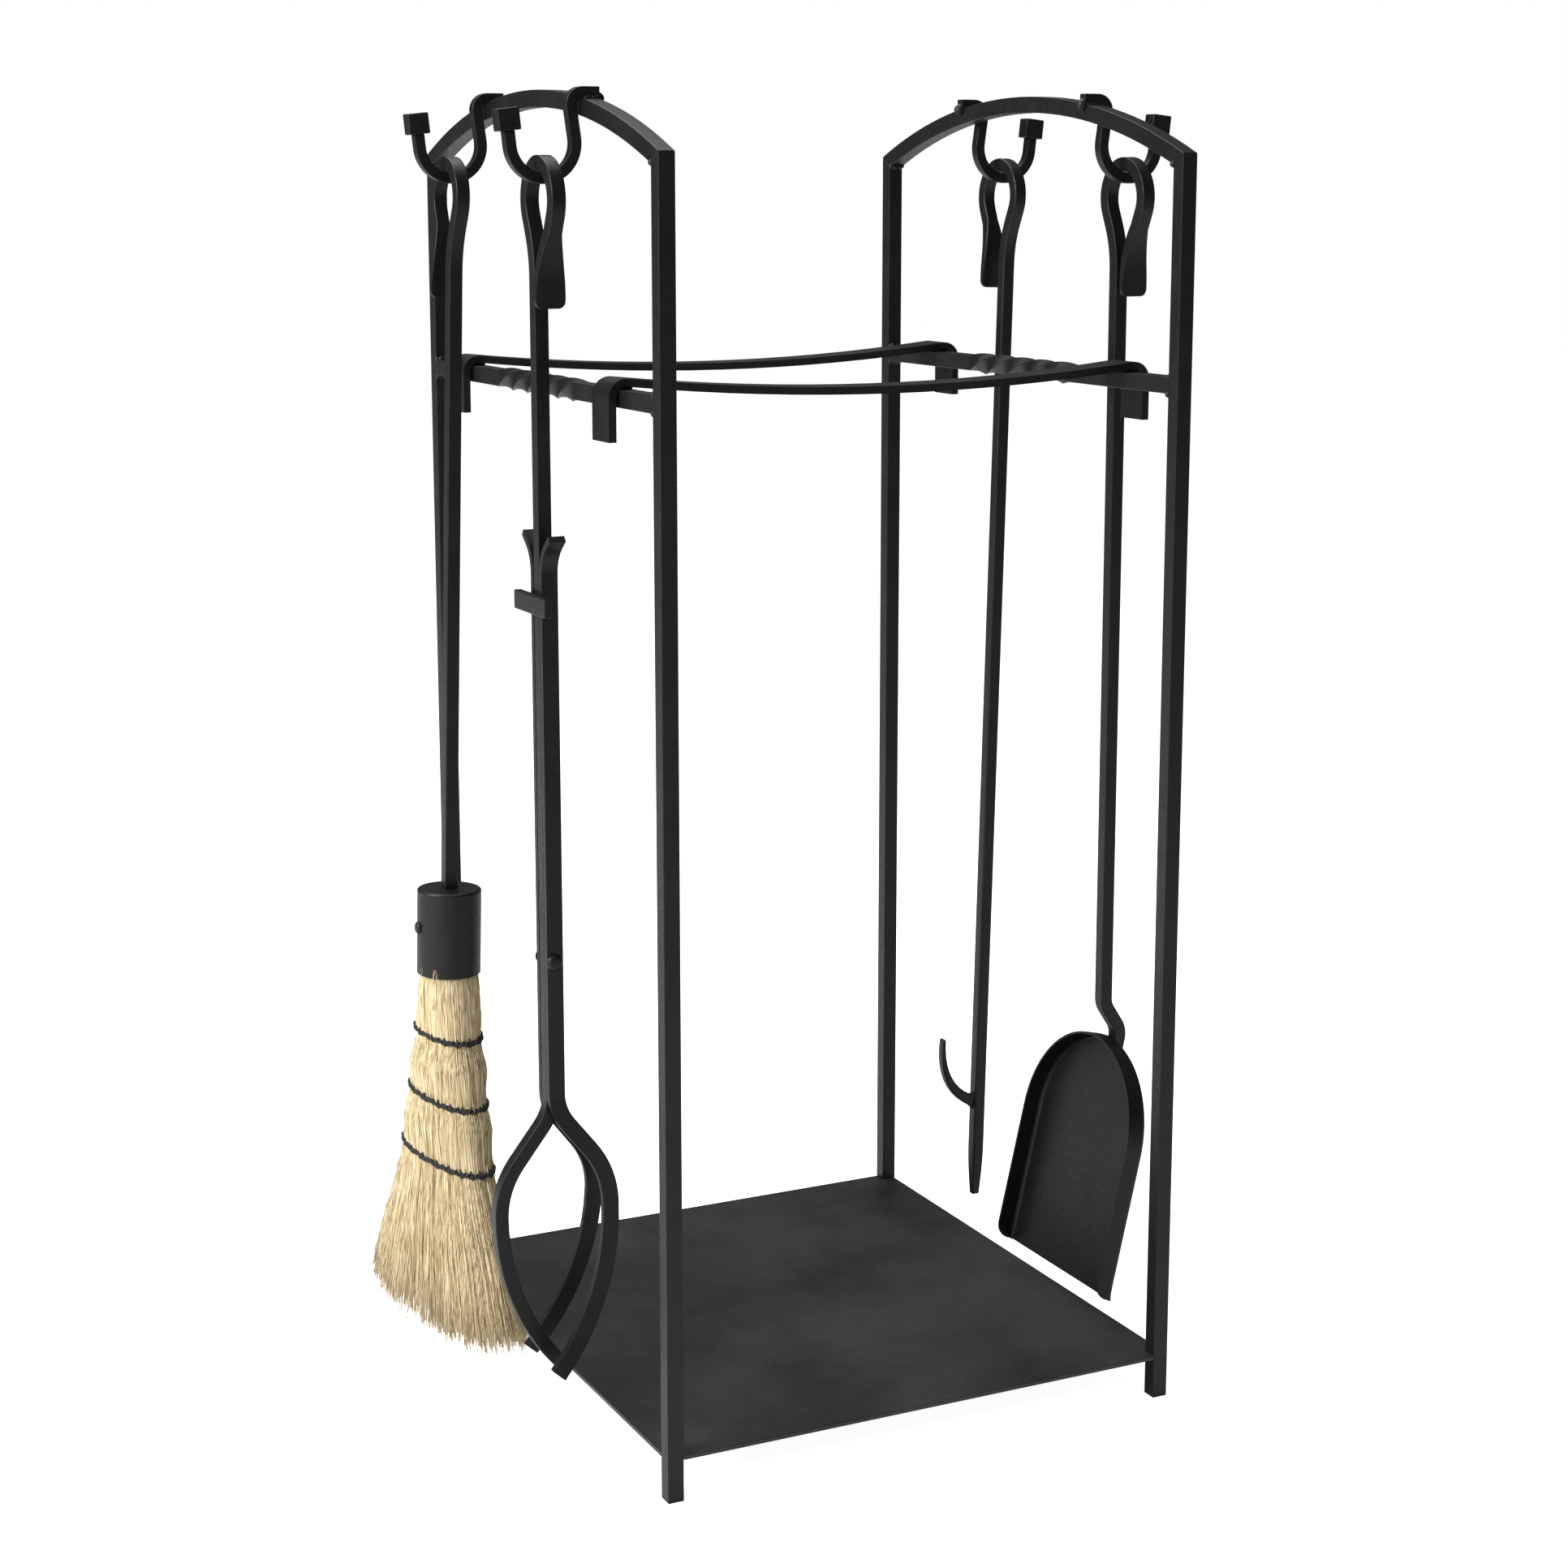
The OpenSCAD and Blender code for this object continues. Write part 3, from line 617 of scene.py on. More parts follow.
class Bar:
    """A bar drawn by pulling its end face along lines and round bends.

    The bar's own X runs along it, and it bends in its own XY plane. A positive
    turn is to the left.
    """

    def __init__(self, section: Section, start: Matrix) -> None:
        """Cuts the bar's first face.

        Args:
            section: The bar's section.
            start: Where the bar starts and which way it heads.
        """
        self.mesh = bmesh.new()
        self.at = start.copy()
        bmesh.ops.create_grid(self.mesh, x_segments=1, y_segments=1, size=0.5)
        bmesh.ops.scale(self.mesh, vec=(section.width, section.thickness, 1), verts=self.mesh.verts)
        bmesh.ops.bevel(
            self.mesh,
            geom=list(self.mesh.verts),
            offset=section.corner,
            offset_type="OFFSET",
            segments=3,
            profile=0.5,
            affect="VERTICES",
            material=-1,
        )
        lay = start @ Matrix(((0, 0, 1, 0), (1, 0, 0, 0), (0, 1, 0, 0), (0, 0, 0, 1)))
        bmesh.ops.transform(self.mesh, matrix=lay, verts=self.mesh.verts)
        self.head = next(iter(self.mesh.faces))
        self.tail_centre = self.head.calc_center_median()

    @classmethod
    def from_tip(cls, section: Section, root: Matrix, path: list["Line | Bend"]) -> "Bar":
        """Draws a path backwards, from its tip to its root.

        Args:
            section: The bar's section.
            root: Where the path starts and which way it heads.
            path: The path's runs and bends, in order from the root.

        Returns:
            The bar, at the path's root and heading out of it.
        """
        tip = root
        for run in path:
            tip = run.end(tip)
        bar = cls(section, tip @ Matrix.Rotation(math.pi, 4, "Z"))
        for run in reversed(path):
            run.draw_back(bar)
        return bar

    def line(self, length: float) -> "Bar":
        """Pulls the end face straight ahead.

        Args:
            length: How far, in millimetres.

        Returns:
            The bar.
        """
        grown = bmesh.ops.extrude_face_region(self.mesh, geom=[self.head, *self.head.edges])["geom"]
        self.head = face_in(grown)
        ahead = self.at.to_3x3() @ Vector((length, 0, 0))
        bmesh.ops.translate(self.mesh, verts=verts_in(grown), vec=ahead)
        self.at = Line(length).end(self.at)
        return self

    def grown(self, high: float, wide: float) -> "Bar":
        """Scales the end face in the bending plane and across it."""
        verts = list(self.head.verts)
        bmesh.ops.scale(self.mesh, vec=(1, high, wide), space=self.at.inverted(), verts=verts)
        return self

    def bend(self, turn: float, radius: float, step: float = 4.0) -> "Bar":
        """Spins the end face round a bend.

        Args:
            turn: The turn in degrees, positive to the left.
            radius: The centre line's radius.
            step: The largest turn between two rings, in degrees.

        Returns:
            The bar.
        """
        side = math.copysign(radius, turn)
        spun = bmesh.ops.spin(
            self.mesh,
            geom=[self.head, *self.head.edges, *self.head.verts],
            cent=self.at @ Vector((0, side, 0)),
            axis=self.at.to_3x3() @ Vector((0, 0, 1)),
            dvec=(0, 0, 0),
            angle=math.radians(turn),
            steps=max(1, math.ceil(abs(turn) / step)),
            use_merge=False,
            use_normal_flip=False,
            use_duplicate=False,
        )
        self.head = face_in(spun["geom_last"])
        self.at = Bend(turn, radius).end(self.at)
        return self

    def rolled(self, angle: float) -> "Bar":
        """Turns the plane the bar bends in, in degrees, without turning its section."""
        self.at = self.at @ Matrix.Rotation(math.radians(angle), 4, "X")
        return self

    def twist(self, length: float, turns: float, rings: int) -> "Bar":
        """Pulls the end face ahead while it turns about the bar.

        Args:
            length: How far.
            turns: How many turns, negative for a left-hand twist.
            rings: How many rings to use.

        Returns:
            The bar.
        """
        for _ in range(rings):
            self.line(length / rings)
            spin = Matrix.Rotation(math.tau * turns / rings, 4, "X")
            bmesh.ops.transform(
                self.mesh, matrix=spin, space=self.at.inverted(), verts=list(self.head.verts)
            )
        return self

    def closed(self, rim: float = 0.7) -> BMesh:
        """Rounds the rims of both ends.

        Args:
            rim: The rounding of the rims.

        Returns:
            The finished mesh.
        """
        ends = [self.head]
        ends += [f for f in self.mesh.faces if (f.calc_center_median() - self.tail_centre).length < 1e-4]
        edges = list({edge for face in ends for edge in face.edges})
        round_edges(self.mesh, edges, rim, 2)
        return self.mesh


class Weld:
    """Beads of weld that make one piece."""

    def __init__(self, seed: int) -> None:
        """Starts with no beads.

        Args:
            seed: The seed of the small differences between puddles.
        """
        self.mesh = bmesh.new()
        self.dice = random.Random(seed)

    def bead(self, start: Vector, end: Vector, radius: float) -> None:
        """Adds a run of weld: overlapping puddles along a line.

        Args:
            start: The bead's start.
            end: The bead's end.
            radius: A puddle's radius.
        """
        run = end - start
        count = max(2, round(run.length / (radius * 0.55)))
        for i in range(count):
            share = i / (count - 1)
            wobble = Vector([self.dice.uniform(-0.12, 0.12) * radius for _ in range(3)])
            size = radius * self.dice.uniform(0.88, 1.08) * (0.82 if i in (0, count - 1) else 1.0)
            place = Matrix.Translation(start + run * share + wobble)
            made = bmesh.ops.create_icosphere(self.mesh, subdivisions=2, radius=size, matrix=place)
            bmesh.ops.smooth_vert(
                self.mesh, verts=made["verts"], factor=0.3, use_axis_x=True, use_axis_y=True, use_axis_z=True
            )

    def bead_across(self, middle: Vector, reach: Vector, radius: float) -> None:
        """Adds a bead that reaches both ways from its middle."""
        self.bead(middle - reach, middle + reach, radius)

    def finish(self, shop: Workshop, name: str, body: str) -> None:
        """Makes the beads one piece."""
        shop.finish(Piece(name, body), self.mesh, 180, weighted=False)


# --- The rack ------------------------------------------------------------------


@dataclass
class Rack:
    """The standing frame: end frames, straps, base plate, hooks and their welds."""

    shop: Workshop
    bar: float = 10.0
    bar_corner: float = 0.55
    twist_length: float = 120.0
    twist_turns: float = -1.25
    strap_corner: float = 0.9
    plate_corner: float = 0.6
    hook_bar: float = 6.4
    hook_corner: float = 0.6
    hook_lap: float = 10.0
    hook_radius: float = 19.4
    hook_lean: float = 8.0
    hook_top_bend: float = 7.0
    hook_end_lean: float = 6.0
    hook_arm: float = 8.5
    knob_corner: float = 0.8
    weld: float = 2.7
    arch_weld: float = 2.97
    plate_weld: float = 1.5
    strap_weld: float = 1.4
    weld_sink: float = 0.6
    weld_margin: float = 1.2
    hook_weld_length: float = 7.0
    hook_weld_slope: float = 18.0
    body: str = "rack"

    def build(self) -> None:
        """Builds every piece of the rack."""
        for side in Side:
            for place in Place:
                self.shop.softened_copy(f"post_{place.value}_{side.value}", self.body, self.bar_corner)
            self.shop.softened_copy(f"arch_{side.value}", self.body, self.bar_corner)
            self.crossbar(side)
        for place in Place:
            self.shop.softened_copy(f"strap_{place.value}", self.body, self.strap_corner)
        self.shop.softened_copy("base_plate", self.body, self.plate_corner, "plate_coat")
        for tool in Tool:
            self.hook(tool)
            self.shop.softened_copy(f"knob_{tool.value}", self.body, self.knob_corner)
        self.frame_welds()
        self.hook_welds()

    def crossbar(self, side: Side) -> None:
        """Builds one crossbar with its twisted middle.

        Args:
            side: The end frame it belongs to.
        """
        node = f"crossbar_{side.value}"
        low, high = node_box(node)
        middle = (low + high) / 2
        plain = (high.y - low.y - self.twist_length) / 2
        start = Matrix.Translation((middle.x, low.y, middle.z)) @ Matrix.Rotation(math.pi / 2, 4, "Z")
        bar = Bar(Section(self.bar, self.bar, self.bar_corner), start)
        bar.line(plain).twist(self.twist_length, self.twist_turns, 75).line(plain)
        self.shop.finish(Piece(f"{node}_twisted", self.body, stands_for=(node,)), bar.closed(0.3))

    def hook(self, tool: Tool) -> None:
        """Builds one hook, from its weld over the arch to its knob.

        Args:
            tool: The tool that hangs on it.
        """
        node = f"hook_{tool.value}"
        pivot = Hinge.of(f"{tool.value}_swing").point
        side = math.copysign(1, pivot.x)
        top = node_box(node)[1].z - self.hook_bar / 2
        lean = math.radians(self.hook_lean)
        leg = top - self.hook_top_bend * (1 + math.sin(lean)) - self.hook_radius * math.sin(lean) - pivot.z
        leg /= math.cos(lean)
        reach = (self.hook_top_bend + self.hook_radius) * math.cos(lean) - leg * math.sin(lean)
        heading = Matrix(((side, 0, 0, 0), (0, 0, -side, 0), (0, 1, 0, 0), (0, 0, 0, 1)))
        inner_end = pivot.x - side * (reach + self.hook_lap)
        start = Matrix.Translation((inner_end, pivot.y, top)) @ heading
        bar = Bar(Section(self.hook_bar, self.hook_bar, self.hook_corner), start)
        bar.line(self.hook_lap).bend(-90 - self.hook_lean, self.hook_top_bend, 8).line(leg)
        bar.bend(180 + self.hook_lean - self.hook_end_lean, self.hook_radius).line(self.hook_arm)
        self.shop.finish(Piece(f"{node}_forged", self.body, stands_for=(node,)), bar.closed(0.5))

    def frame_welds(self) -> None:
        """Adds the weld beads between bars, straps, plate and posts."""
        weld = Weld(SEED)
        plate_low, plate_high = node_box("base_plate")
        sink = self.weld_sink
        across = Vector((self.bar / 2 - self.weld_margin, 0, 0))
        for side in Side:
            low, high = node_box(f"crossbar_{side.value}")
            x, _, z = (low + high) / 2
            for y in (low.y + sink, high.y - sink):
                for dz in (-self.bar / 2, self.bar / 2):
                    weld.bead_across(Vector((x, y, z + dz)), across, self.weld)
            arch_low, arch_high = node_box(f"arch_{side.value}")
            for y in (arch_low.y + self.bar + 0.8, arch_high.y - self.bar - 0.8):
                weld.bead_across(Vector((x, y, arch_low.z + sink)), across, self.arch_weld)
            for y in (plate_low.y + self.bar, plate_high.y - self.bar):
                weld.bead_across(Vector((x, y, plate_high.z - sink)), across, self.plate_weld)
            for place in Place:
                strap_low, strap_high = node_box(f"strap_{place.value}")
                for y in (strap_low.y + 3, strap_high.y - 3):
                    middle = Vector((x, y, z + self.bar / 2 + sink))
                    weld.bead_across(middle, Vector((3, 0, 0)), self.strap_weld)
        weld.finish(self.shop, "frame_welds", self.body)

    def hook_welds(self) -> None:
        """Adds the lumpy beads that hold the hooks on the arches."""
        weld = Weld(SEED + 1)
        for tool in Tool:
            low, high = node_box(f"hook_{tool.value}")
            side = math.copysign(1, low.x)
            inner = low.x if side > 0 else high.x
            top = high.z - self.hook_bar
            y = (low.y + high.y) / 2
            for dy in (-self.hook_bar / 2, self.hook_bar / 2):
                start = Vector((inner + side * 2, y + dy, top))
                weld.bead(start, start + Vector((side * self.hook_weld_length, 0, 0)), self.plate_weld)
            slope = Matrix.Rotation(math.radians(-self.hook_weld_slope * side), 4, "Y")
            puddle = Matrix.Translation((inner + side * 0.8, y, top + 0.2)) @ slope
            puddle @= Matrix.Diagonal((4.6, 3.7, 3.6, 1))
            bmesh.ops.create_icosphere(weld.mesh, subdivisions=4, radius=1, matrix=puddle)
        weld.finish(self.shop, "hook_welds", self.body)


# --- The tools -----------------------------------------------------------------


@dataclass(frozen=True)
class Hinge:
    """The pin line a tool turns on."""

    point: Vector

    @staticmethod
    def of(name: str) -> "Hinge":
        """The hinge with a joint's name, in millimetres."""
        joint = next(j for j in frame["record"]["behaviour"]["joints"] if j["name"] == name)
        return Hinge(Vector(joint["pos_m"]) / MM)

    def hang(self, lean: float = 0.0) -> Matrix:
        """The frame of a tool that hangs here and leans, in degrees."""
        return Matrix.Translation(self.point) @ Matrix.Rotation(math.radians(lean), 4, "Y")


@dataclass(frozen=True)
class Handle:
    """A handle's sizes: the rod, the eye it is bent into and the fish tail."""

    rod: float = 8.4
    corner: float = 0.7
    eye_radius: float = 24.5
    side_angle: float = 25.0
    neck_drop: float = 44.0
    tail_length: float = 16.0
    tail_width: float = 18.0
    tail_thickness: float = 3.0
    neck_offset: float = 8.4
    hook_inner: float = 16.2
    hook_bar: float = 6.4
    clearance: float = 0.33

    # Each step of the tail's rounded end: its length and its share of the tail's width.
    tail_rounding: tuple[tuple[float, float], ...] = ((1.6, 0.95), (1.3, 0.86), (0.8, 0.72), (0.3, 0.56))

    @property
    def bend_radius(self) -> float:
        """The centre-line radius of the eye."""
        return self.eye_radius - self.rod / 2

    @property
    def neck_depth(self) -> float:
        """How far the neck is below the hinge."""
        inner = self.eye_radius - self.rod
        top = math.sqrt((self.hook_inner - self.clearance) ** 2 - (self.rod / 2) ** 2)
        top -= inner - math.sqrt(inner**2 - (self.hook_bar / 2) ** 2)
        return top + inner + self.neck_drop

    def side_and_neck(self) -> tuple[float, float]:
        """The length of the eye's straight side and the radius of its neck bend."""
        a = math.radians(self.side_angle)
        reach = self.bend_radius * math.cos(a) - self.neck_offset
        drop = self.neck_drop - self.bend_radius * math.sin(a)
        share = math.sin(a) ** 2 - (1 - math.cos(a)) * math.cos(a)
        side = (reach * math.sin(a) - drop * (1 - math.cos(a))) / share
        return side, (drop - side * math.cos(a)) / math.sin(a)

    def drawn_up(self, bar: Bar, length: float, stand: Stand) -> BMesh:
        """Draws the rod up from where a bar is, then the eye and the tail.

        Args:
            bar: The bar, heading up in the YZ plane.
            length: The rod's length up to the neck.
            stand: Where the rod stands beside the eye's middle.

        Returns:
            The finished mesh.
        """
        side, neck = self.side_and_neck()
        turn = stand.value * self.side_angle
        round_eye = -stand.value * (180 + 2 * self.side_angle)
        bar.line(length).bend(turn, neck).line(side).bend(round_eye, self.bend_radius, 5).line(side)
        return self.flattened(bar, turn, neck)

    def flattened(self, bar: Bar, turn: float, neck: float) -> BMesh:
        """Bends the second neck and hammers it and the tail out flat and wide.

        Args:
            bar: The bar, at the end of the eye.
            turn: The neck's turn in degrees.
            neck: The neck bend's radius.

        Returns:
            The finished mesh.
        """
        stages = 12
        arc = math.radians(self.side_angle) * neck
        straight = self.tail_length - sum(reach for reach, _ in self.tail_rounding)
        size = (self.rod, self.rod)
        for i in range(1, stages + 1):
            bar.bend(turn / stages, neck)
            size = self.hammered(bar, size, arc * i / stages / (arc + straight))
        for i in range(1, stages + 1):
            bar.line(straight / stages)
            size = self.hammered(bar, size, (arc + straight * i / stages) / (arc + straight))
        last = 1.0
        for reach, share in self.tail_rounding:
            bar.line(reach).grown(0.94, share / last)
            last = share
        return bar.closed(0.35)

    def hammered(self, bar: Bar, size: tuple[float, float], share: float) -> tuple[float, float]:
        """Gives the bar's end face its hammered size.

        Args:
            bar: The bar.
            size: The face's thickness and width now.
            share: How far down the neck and tail the face is, from 0 to 1.

        Returns:
            The face's new thickness and width.
        """
        high = self.rod + (self.tail_thickness - self.rod) * share
        wide = self.rod + (self.tail_width - self.rod) * math.sin(math.pi / 2 * share)
        bar.grown(high / size[0], wide / size[1])
        return high, wide


@dataclass
class Brush:
    """The hearth brush: handle, ferrule, screw, bristles and twine."""

    shop: Workshop
    handle: Handle = Handle()
    lean: float = 1.7
    ferrule_depth: float = 455.5
    ferrule_height: float = 54.0
    ferrule_radius: float = 20.0
    ferrule_corner: float = 1.6
    lip_corner: float = 0.5
    screw_drop: float = 24.0
    screw_radius: float = 3.9
    rod_end: float = 469.5
    turn: float = 14.0
    fibres: int = 4300
    longest: float = 732.0
    strays_out: int = 150
    strays_up: int = 7
    stray_root: float = 530.0
    twine_step: float = 0.75
    lay_pitch: float = 7.0
    stitch_pitch: float = 9.0
    twine_radius: float = 0.95
    stitch_radius: float = 0.7
    row_tilt: float = 0.11
    body: str = "brush"

    # Each level of the bundle: depth, half width, half thickness.
    levels: tuple[tuple[float, float, float], ...] = (
        (495.0, 16.0, 16.0),
        (509.5, 18.0, 18.0),
        (530.0, 22.4, 19.2),
        (551.0, 24.0, 16.0),
        (569.0, 29.8, 19.6),
        (587.0, 31.4, 16.6),
        (607.0, 37.6, 19.8),
        (626.0, 39.6, 17.4),
        (650.0, 49.0, 20.0),
        (690.0, 65.0, 22.0),
        (728.0, 78.0, 24.0),
    )
    # The depths of the twine rows, of the filling's rings and of a fibre's bends.
    rows: tuple[float, ...] = (548.0, 588.5, 627.5)
    rings: tuple[float, ...] = (
        498.0, 509.0, 520.0, 530.0, 540.0, 551.0, 561.0, 570.0, 579.0, 587.0,
        597.0, 607.0, 616.0, 626.0, 638.0, 650.0, 670.0, 690.0, 712.0,
    )
    bends: tuple[float, ...] = (502.0, 520.0, 540.0, 552.0, 570.0, 587.0, 607.0, 627.0, 658.0, 692.0)

    # Each layer of fibres: how far out it lies, its share of the fibres and whether only tips show.
    layers: tuple[tuple[str, float, float, float, bool], ...] = (
        ("bristles_outer", 0.95, 1.0, 0.4, False),
        ("bristles_middle", 0.88, 0.97, 0.35, False),
        ("bristles_tips", 0.2, 0.9, 0.25, True),
    )

    def __post_init__(self) -> None:
        """Finds the frame that hangs from the hinge along the rod's middle line."""
        hang = Hinge.of("brush_swing").hang(self.lean)
        self.middle = hang @ Matrix.Translation((0, -self.handle.neck_offset, 0))

    def build(self) -> None:
        """Builds every piece of the brush."""
        self.rod()
        self.ferrule()
        self.screw()
        self.filling()
        self.bristles()
        self.strays()
        self.twine()

    def rod(self) -> None:
        """Builds the handle."""
        h = self.handle
        start = self.middle @ Matrix.Translation((0, 0, -self.rod_end)) @ UP_IN_YZ
        bar = Bar(Section(h.rod, h.rod, h.corner), start)
        mesh = h.drawn_up(bar, self.rod_end - h.neck_depth, Stand.FRONT)
        self.shop.finish(Piece("brush_handle", self.body, stands_for=("brush_rod",)), mesh)

    def ferrule(self) -> None:
        """Builds the ferrule: a drawn cap with a soft top edge and a rolled lip."""
        mesh = bmesh.new()
        radius = self.ferrule_radius
        place = self.middle @ Matrix.Translation((0, 0, -self.ferrule_depth - self.ferrule_height))
        bmesh.ops.create_cone(
            mesh, cap_ends=False, segments=96, radius1=radius, radius2=radius,
            depth=self.ferrule_height, matrix=place @ Matrix.Translation((0, 0, self.ferrule_height / 2)),
        )
        top_z = max(v.co.z for v in mesh.verts)
        top = [e for e in boundary(mesh) if all(v.co.z > top_z - 5 for v in e.verts)]
        bmesh.ops.contextual_create(mesh, geom=top)
        cap = max(mesh.faces, key=lambda f: len(f.verts))
        round_edges(mesh, list(cap.edges), self.ferrule_corner, 4, clamp=False)
        self.turned_in(mesh, place, 0.965, 0)
        self.turned_in(mesh, place, 0.945, 6)
        bmesh.ops.contextual_create(mesh, geom=boundary(mesh))
        local = {v: place.inverted() @ v.co for v in mesh.verts}
        rim = [
            e for e in mesh.edges
            if all(abs(local[v].z) < 0.05 and abs(local[v].xy.length - radius) < 0.05 for v in e.verts)
        ]
        round_edges(mesh, rim, self.lip_corner, clamp=False)
        self.shop.finish(Piece("ferrule_cap", self.body, stands_for=("brush_ferrule",)), mesh, 60)

    def turned_in(self, mesh: BMesh, place: Matrix, shrink: float, lift: float) -> None:
        """Pulls a mesh's open edge inwards and up.

        Args:
            mesh: The mesh.
            place: The frame whose Z the edge runs round.
            shrink: The edge's new size beside its old one.
            lift: How far up it goes.
        """
        verts = verts_in(bmesh.ops.extrude_edge_only(mesh, edges=boundary(mesh))["geom"])
        bmesh.ops.scale(mesh, vec=(shrink, shrink, 1), space=place.inverted(), verts=verts)
        bmesh.ops.translate(mesh, verts=verts, vec=place.to_3x3() @ Vector((0, 0, lift)))

    def screw(self) -> None:
        """Builds the round-head screw with a hexagon socket."""
        mesh = bmesh.new()
        out = self.ferrule_radius
        depth = self.ferrule_depth + self.screw_drop
        face = self.middle @ Matrix.Translation((0, 0, -depth)) @ Matrix.Rotation(-math.pi / 2, 4, "Y")
        bmesh.ops.create_cone(
            mesh, cap_ends=True, segments=48, radius1=self.screw_radius, radius2=self.screw_radius,
            depth=0.9, matrix=face @ Matrix.Translation((0, 0, out + 0.3)),
        )
        top = outermost(mesh.faces, face)
        for inset, lift in ((0.35, 0.55), (0.6, 0.45), (0.8, 0.25)):
            bmesh.ops.inset_individual(mesh, faces=[top], thickness=inset, depth=lift)
        socket = bmesh.ops.create_cone(
            mesh, cap_ends=True, segments=6, radius1=1.6, radius2=1.6, depth=0.4,
            matrix=face @ Matrix.Translation((0, 0, out + 1.85)),
        )
        front = outermost([f for f in mesh.faces if all(v in socket["verts"] for v in f.verts)], face)
        for inset, lift in ((0.25, 0.0), (0.05, -0.9)):
            bmesh.ops.inset_individual(mesh, faces=[front], thickness=inset, depth=lift)
        self.shop.finish(Piece("ferrule_screw_head", self.body, stands_for=("ferrule_screw",)), mesh, 40)

    def half_sizes(self, depth: float) -> tuple[float, float]:
        """The bundle's half width and half thickness at a depth.

        Args:
            depth: The depth below the hinge.

        Returns:
            The half width and the half thickness.
        """
        pairs = list(zip(self.levels, self.levels[1:], strict=False))
        (d0, w0, t0), (d1, w1, t1) = next((pair for pair in pairs if depth <= pair[1][0]), pairs[-1])
        share = (depth - d0) / (d1 - d0)
        if depth <= d1:
            share = max(0.0, share)
            share = share * share * (3 - 2 * share)
        return w0 + (w1 - w0) * share, t0 + (t1 - t0) * share

    def outline(self, angle: float, depth: float, share: float = 1.0) -> Vector:
        """A point of the bundle.

        Args:
            angle: The direction round the bundle, in radians.
            depth: The depth below the hinge.
            share: 1 on the outside, less inside.

        Returns:
            The point, in the set's frame.
        """
        wide, thick = self.half_sizes(depth)
        power = 0.86 if depth > 530 else 1.0
        c, s = math.cos(angle), math.sin(angle)
        x = thick * share * math.copysign(abs(c) ** power, c)
        y = wide * share * math.copysign(abs(s) ** power, s)
        turned = Matrix.Rotation(math.radians(self.turn), 3, "Z") @ Vector((x, y, 0))
        return self.middle @ Vector((turned.x, turned.y, -depth))

    def bottom(self, angle: float, share: float) -> float:
        """The depth of the trimmed bottom, which rises to the fan's corners and to one side.

        Args:
            angle: The direction round the bundle, in radians.
            share: 1 on the outside, less inside.

        Returns:
            The depth below the hinge.
        """
        across = math.sin(angle) * share
        return self.longest - 11.0 * across * across - 9.0 * across

    def filling(self) -> None:
        """Builds the dense inside of the bundle, just below its outer fibres."""
        mesh = bmesh.new()
        count = 48
        bmesh.ops.create_circle(mesh, cap_ends=True, segments=count, radius=1.0)
        head = next(iter(mesh.faces))
        for number, depth in enumerate(self.rings):
            if number:
                head = face_in(bmesh.ops.extrude_face_region(mesh, geom=[head, *head.edges])["geom"])
            share = 0.93 if depth < 690 else 0.86
            for i, vert in enumerate(head.verts):
                vert.co = self.outline(math.tau * i / count, depth, share)
        piece = Piece("bristle_filling", self.body, "straw", ("bristle_head", "brush_core"))
        self.shop.finish(piece, mesh, 60)

    def threads(
        self,
        piece: Piece,
        runs: list[list[Vector]],
        widths: list[float],
        tip: float = 1.0,
        roundness: int = 0,
    ) -> None:
        """Makes a mesh of round threads along runs of points.

        Args:
            piece: Where it belongs.
            runs: Each thread's points, in millimetres.
            widths: Each thread's radius.
            tip: How thick a thread's end is beside its start.
            roundness: How finely the threads are rounded.
        """
        curve = bpy.data.curves.new(piece.name, "CURVE")
        curve.dimensions = "3D"
        curve.bevel_depth = MM
        curve.bevel_resolution = roundness
        curve.use_fill_caps = True
        for run, width in zip(runs, widths, strict=True):
            spline = curve.splines.new("POLY")
            spline.points.add(len(run) - 1)
            for i, (point, spot) in enumerate(zip(spline.points, run, strict=True)):
                point.co = (*(spot * MM), 1.0)
                point.radius = width * (1 + (tip - 1) * i / (len(run) - 1))
        source = new_object(piece.name + "_line", curve)
        bpy.context.view_layer.update()
        shaped = source.evaluated_get(bpy.context.evaluated_depsgraph_get())
        data = bpy.data.meshes.new_from_object(shaped)
        bpy.data.objects.remove(source)
        bpy.data.curves.remove(curve)
        mesh = bmesh.new()
        mesh.from_mesh(data)
        bmesh.ops.remove_doubles(mesh, verts=mesh.verts, dist=1e-6)
        mesh.to_mesh(data)
        mesh.free()
        data.name = piece.name
        data.shade_smooth()
        self.shop.place(piece, new_object(piece.name, data))

    def fibre(self, dice: random.Random, share: float) -> list[Vector]:
        """One bristle from the ferrule to the trimmed bottom.

        Args:
            dice: The source of its bends.
            share: How far out in the bundle it lies.

        Returns:
            Its points.
        """
        angle = dice.uniform(0, math.tau)
        end = self.bottom(angle, share) + dice.gauss(-3.0, 4.0)
        drift = dice.gauss(0, 0.05)
        points = []
        for depth in (*self.bends, end):
            loose = max(0.0, (depth - 630) / 100)
            turn = angle + drift * (depth - self.bends[0]) / 100 + dice.gauss(0, 0.003 + 0.008 * loose)
            out = share * (1 + dice.gauss(0, 0.004 + 0.01 * loose))
            points.append(self.outline(turn, depth, min(out, 1.03)))
        return points

    def bristles(self) -> None:
        """Builds the fibres of the bundle, outer ones first."""
        dice = random.Random(SEED + 2)
        for name, low, high, part, tips_only in self.layers:
            runs, widths = [], []
            for _ in range(int(self.fibres * part)):
                run = self.fibre(dice, dice.uniform(low, high))
                runs.append(run[-4:] if tips_only else run)
                widths.append(dice.uniform(0.26, 0.46))
            self.threads(Piece(name, self.body, "straw"), runs, widths, 0.6)

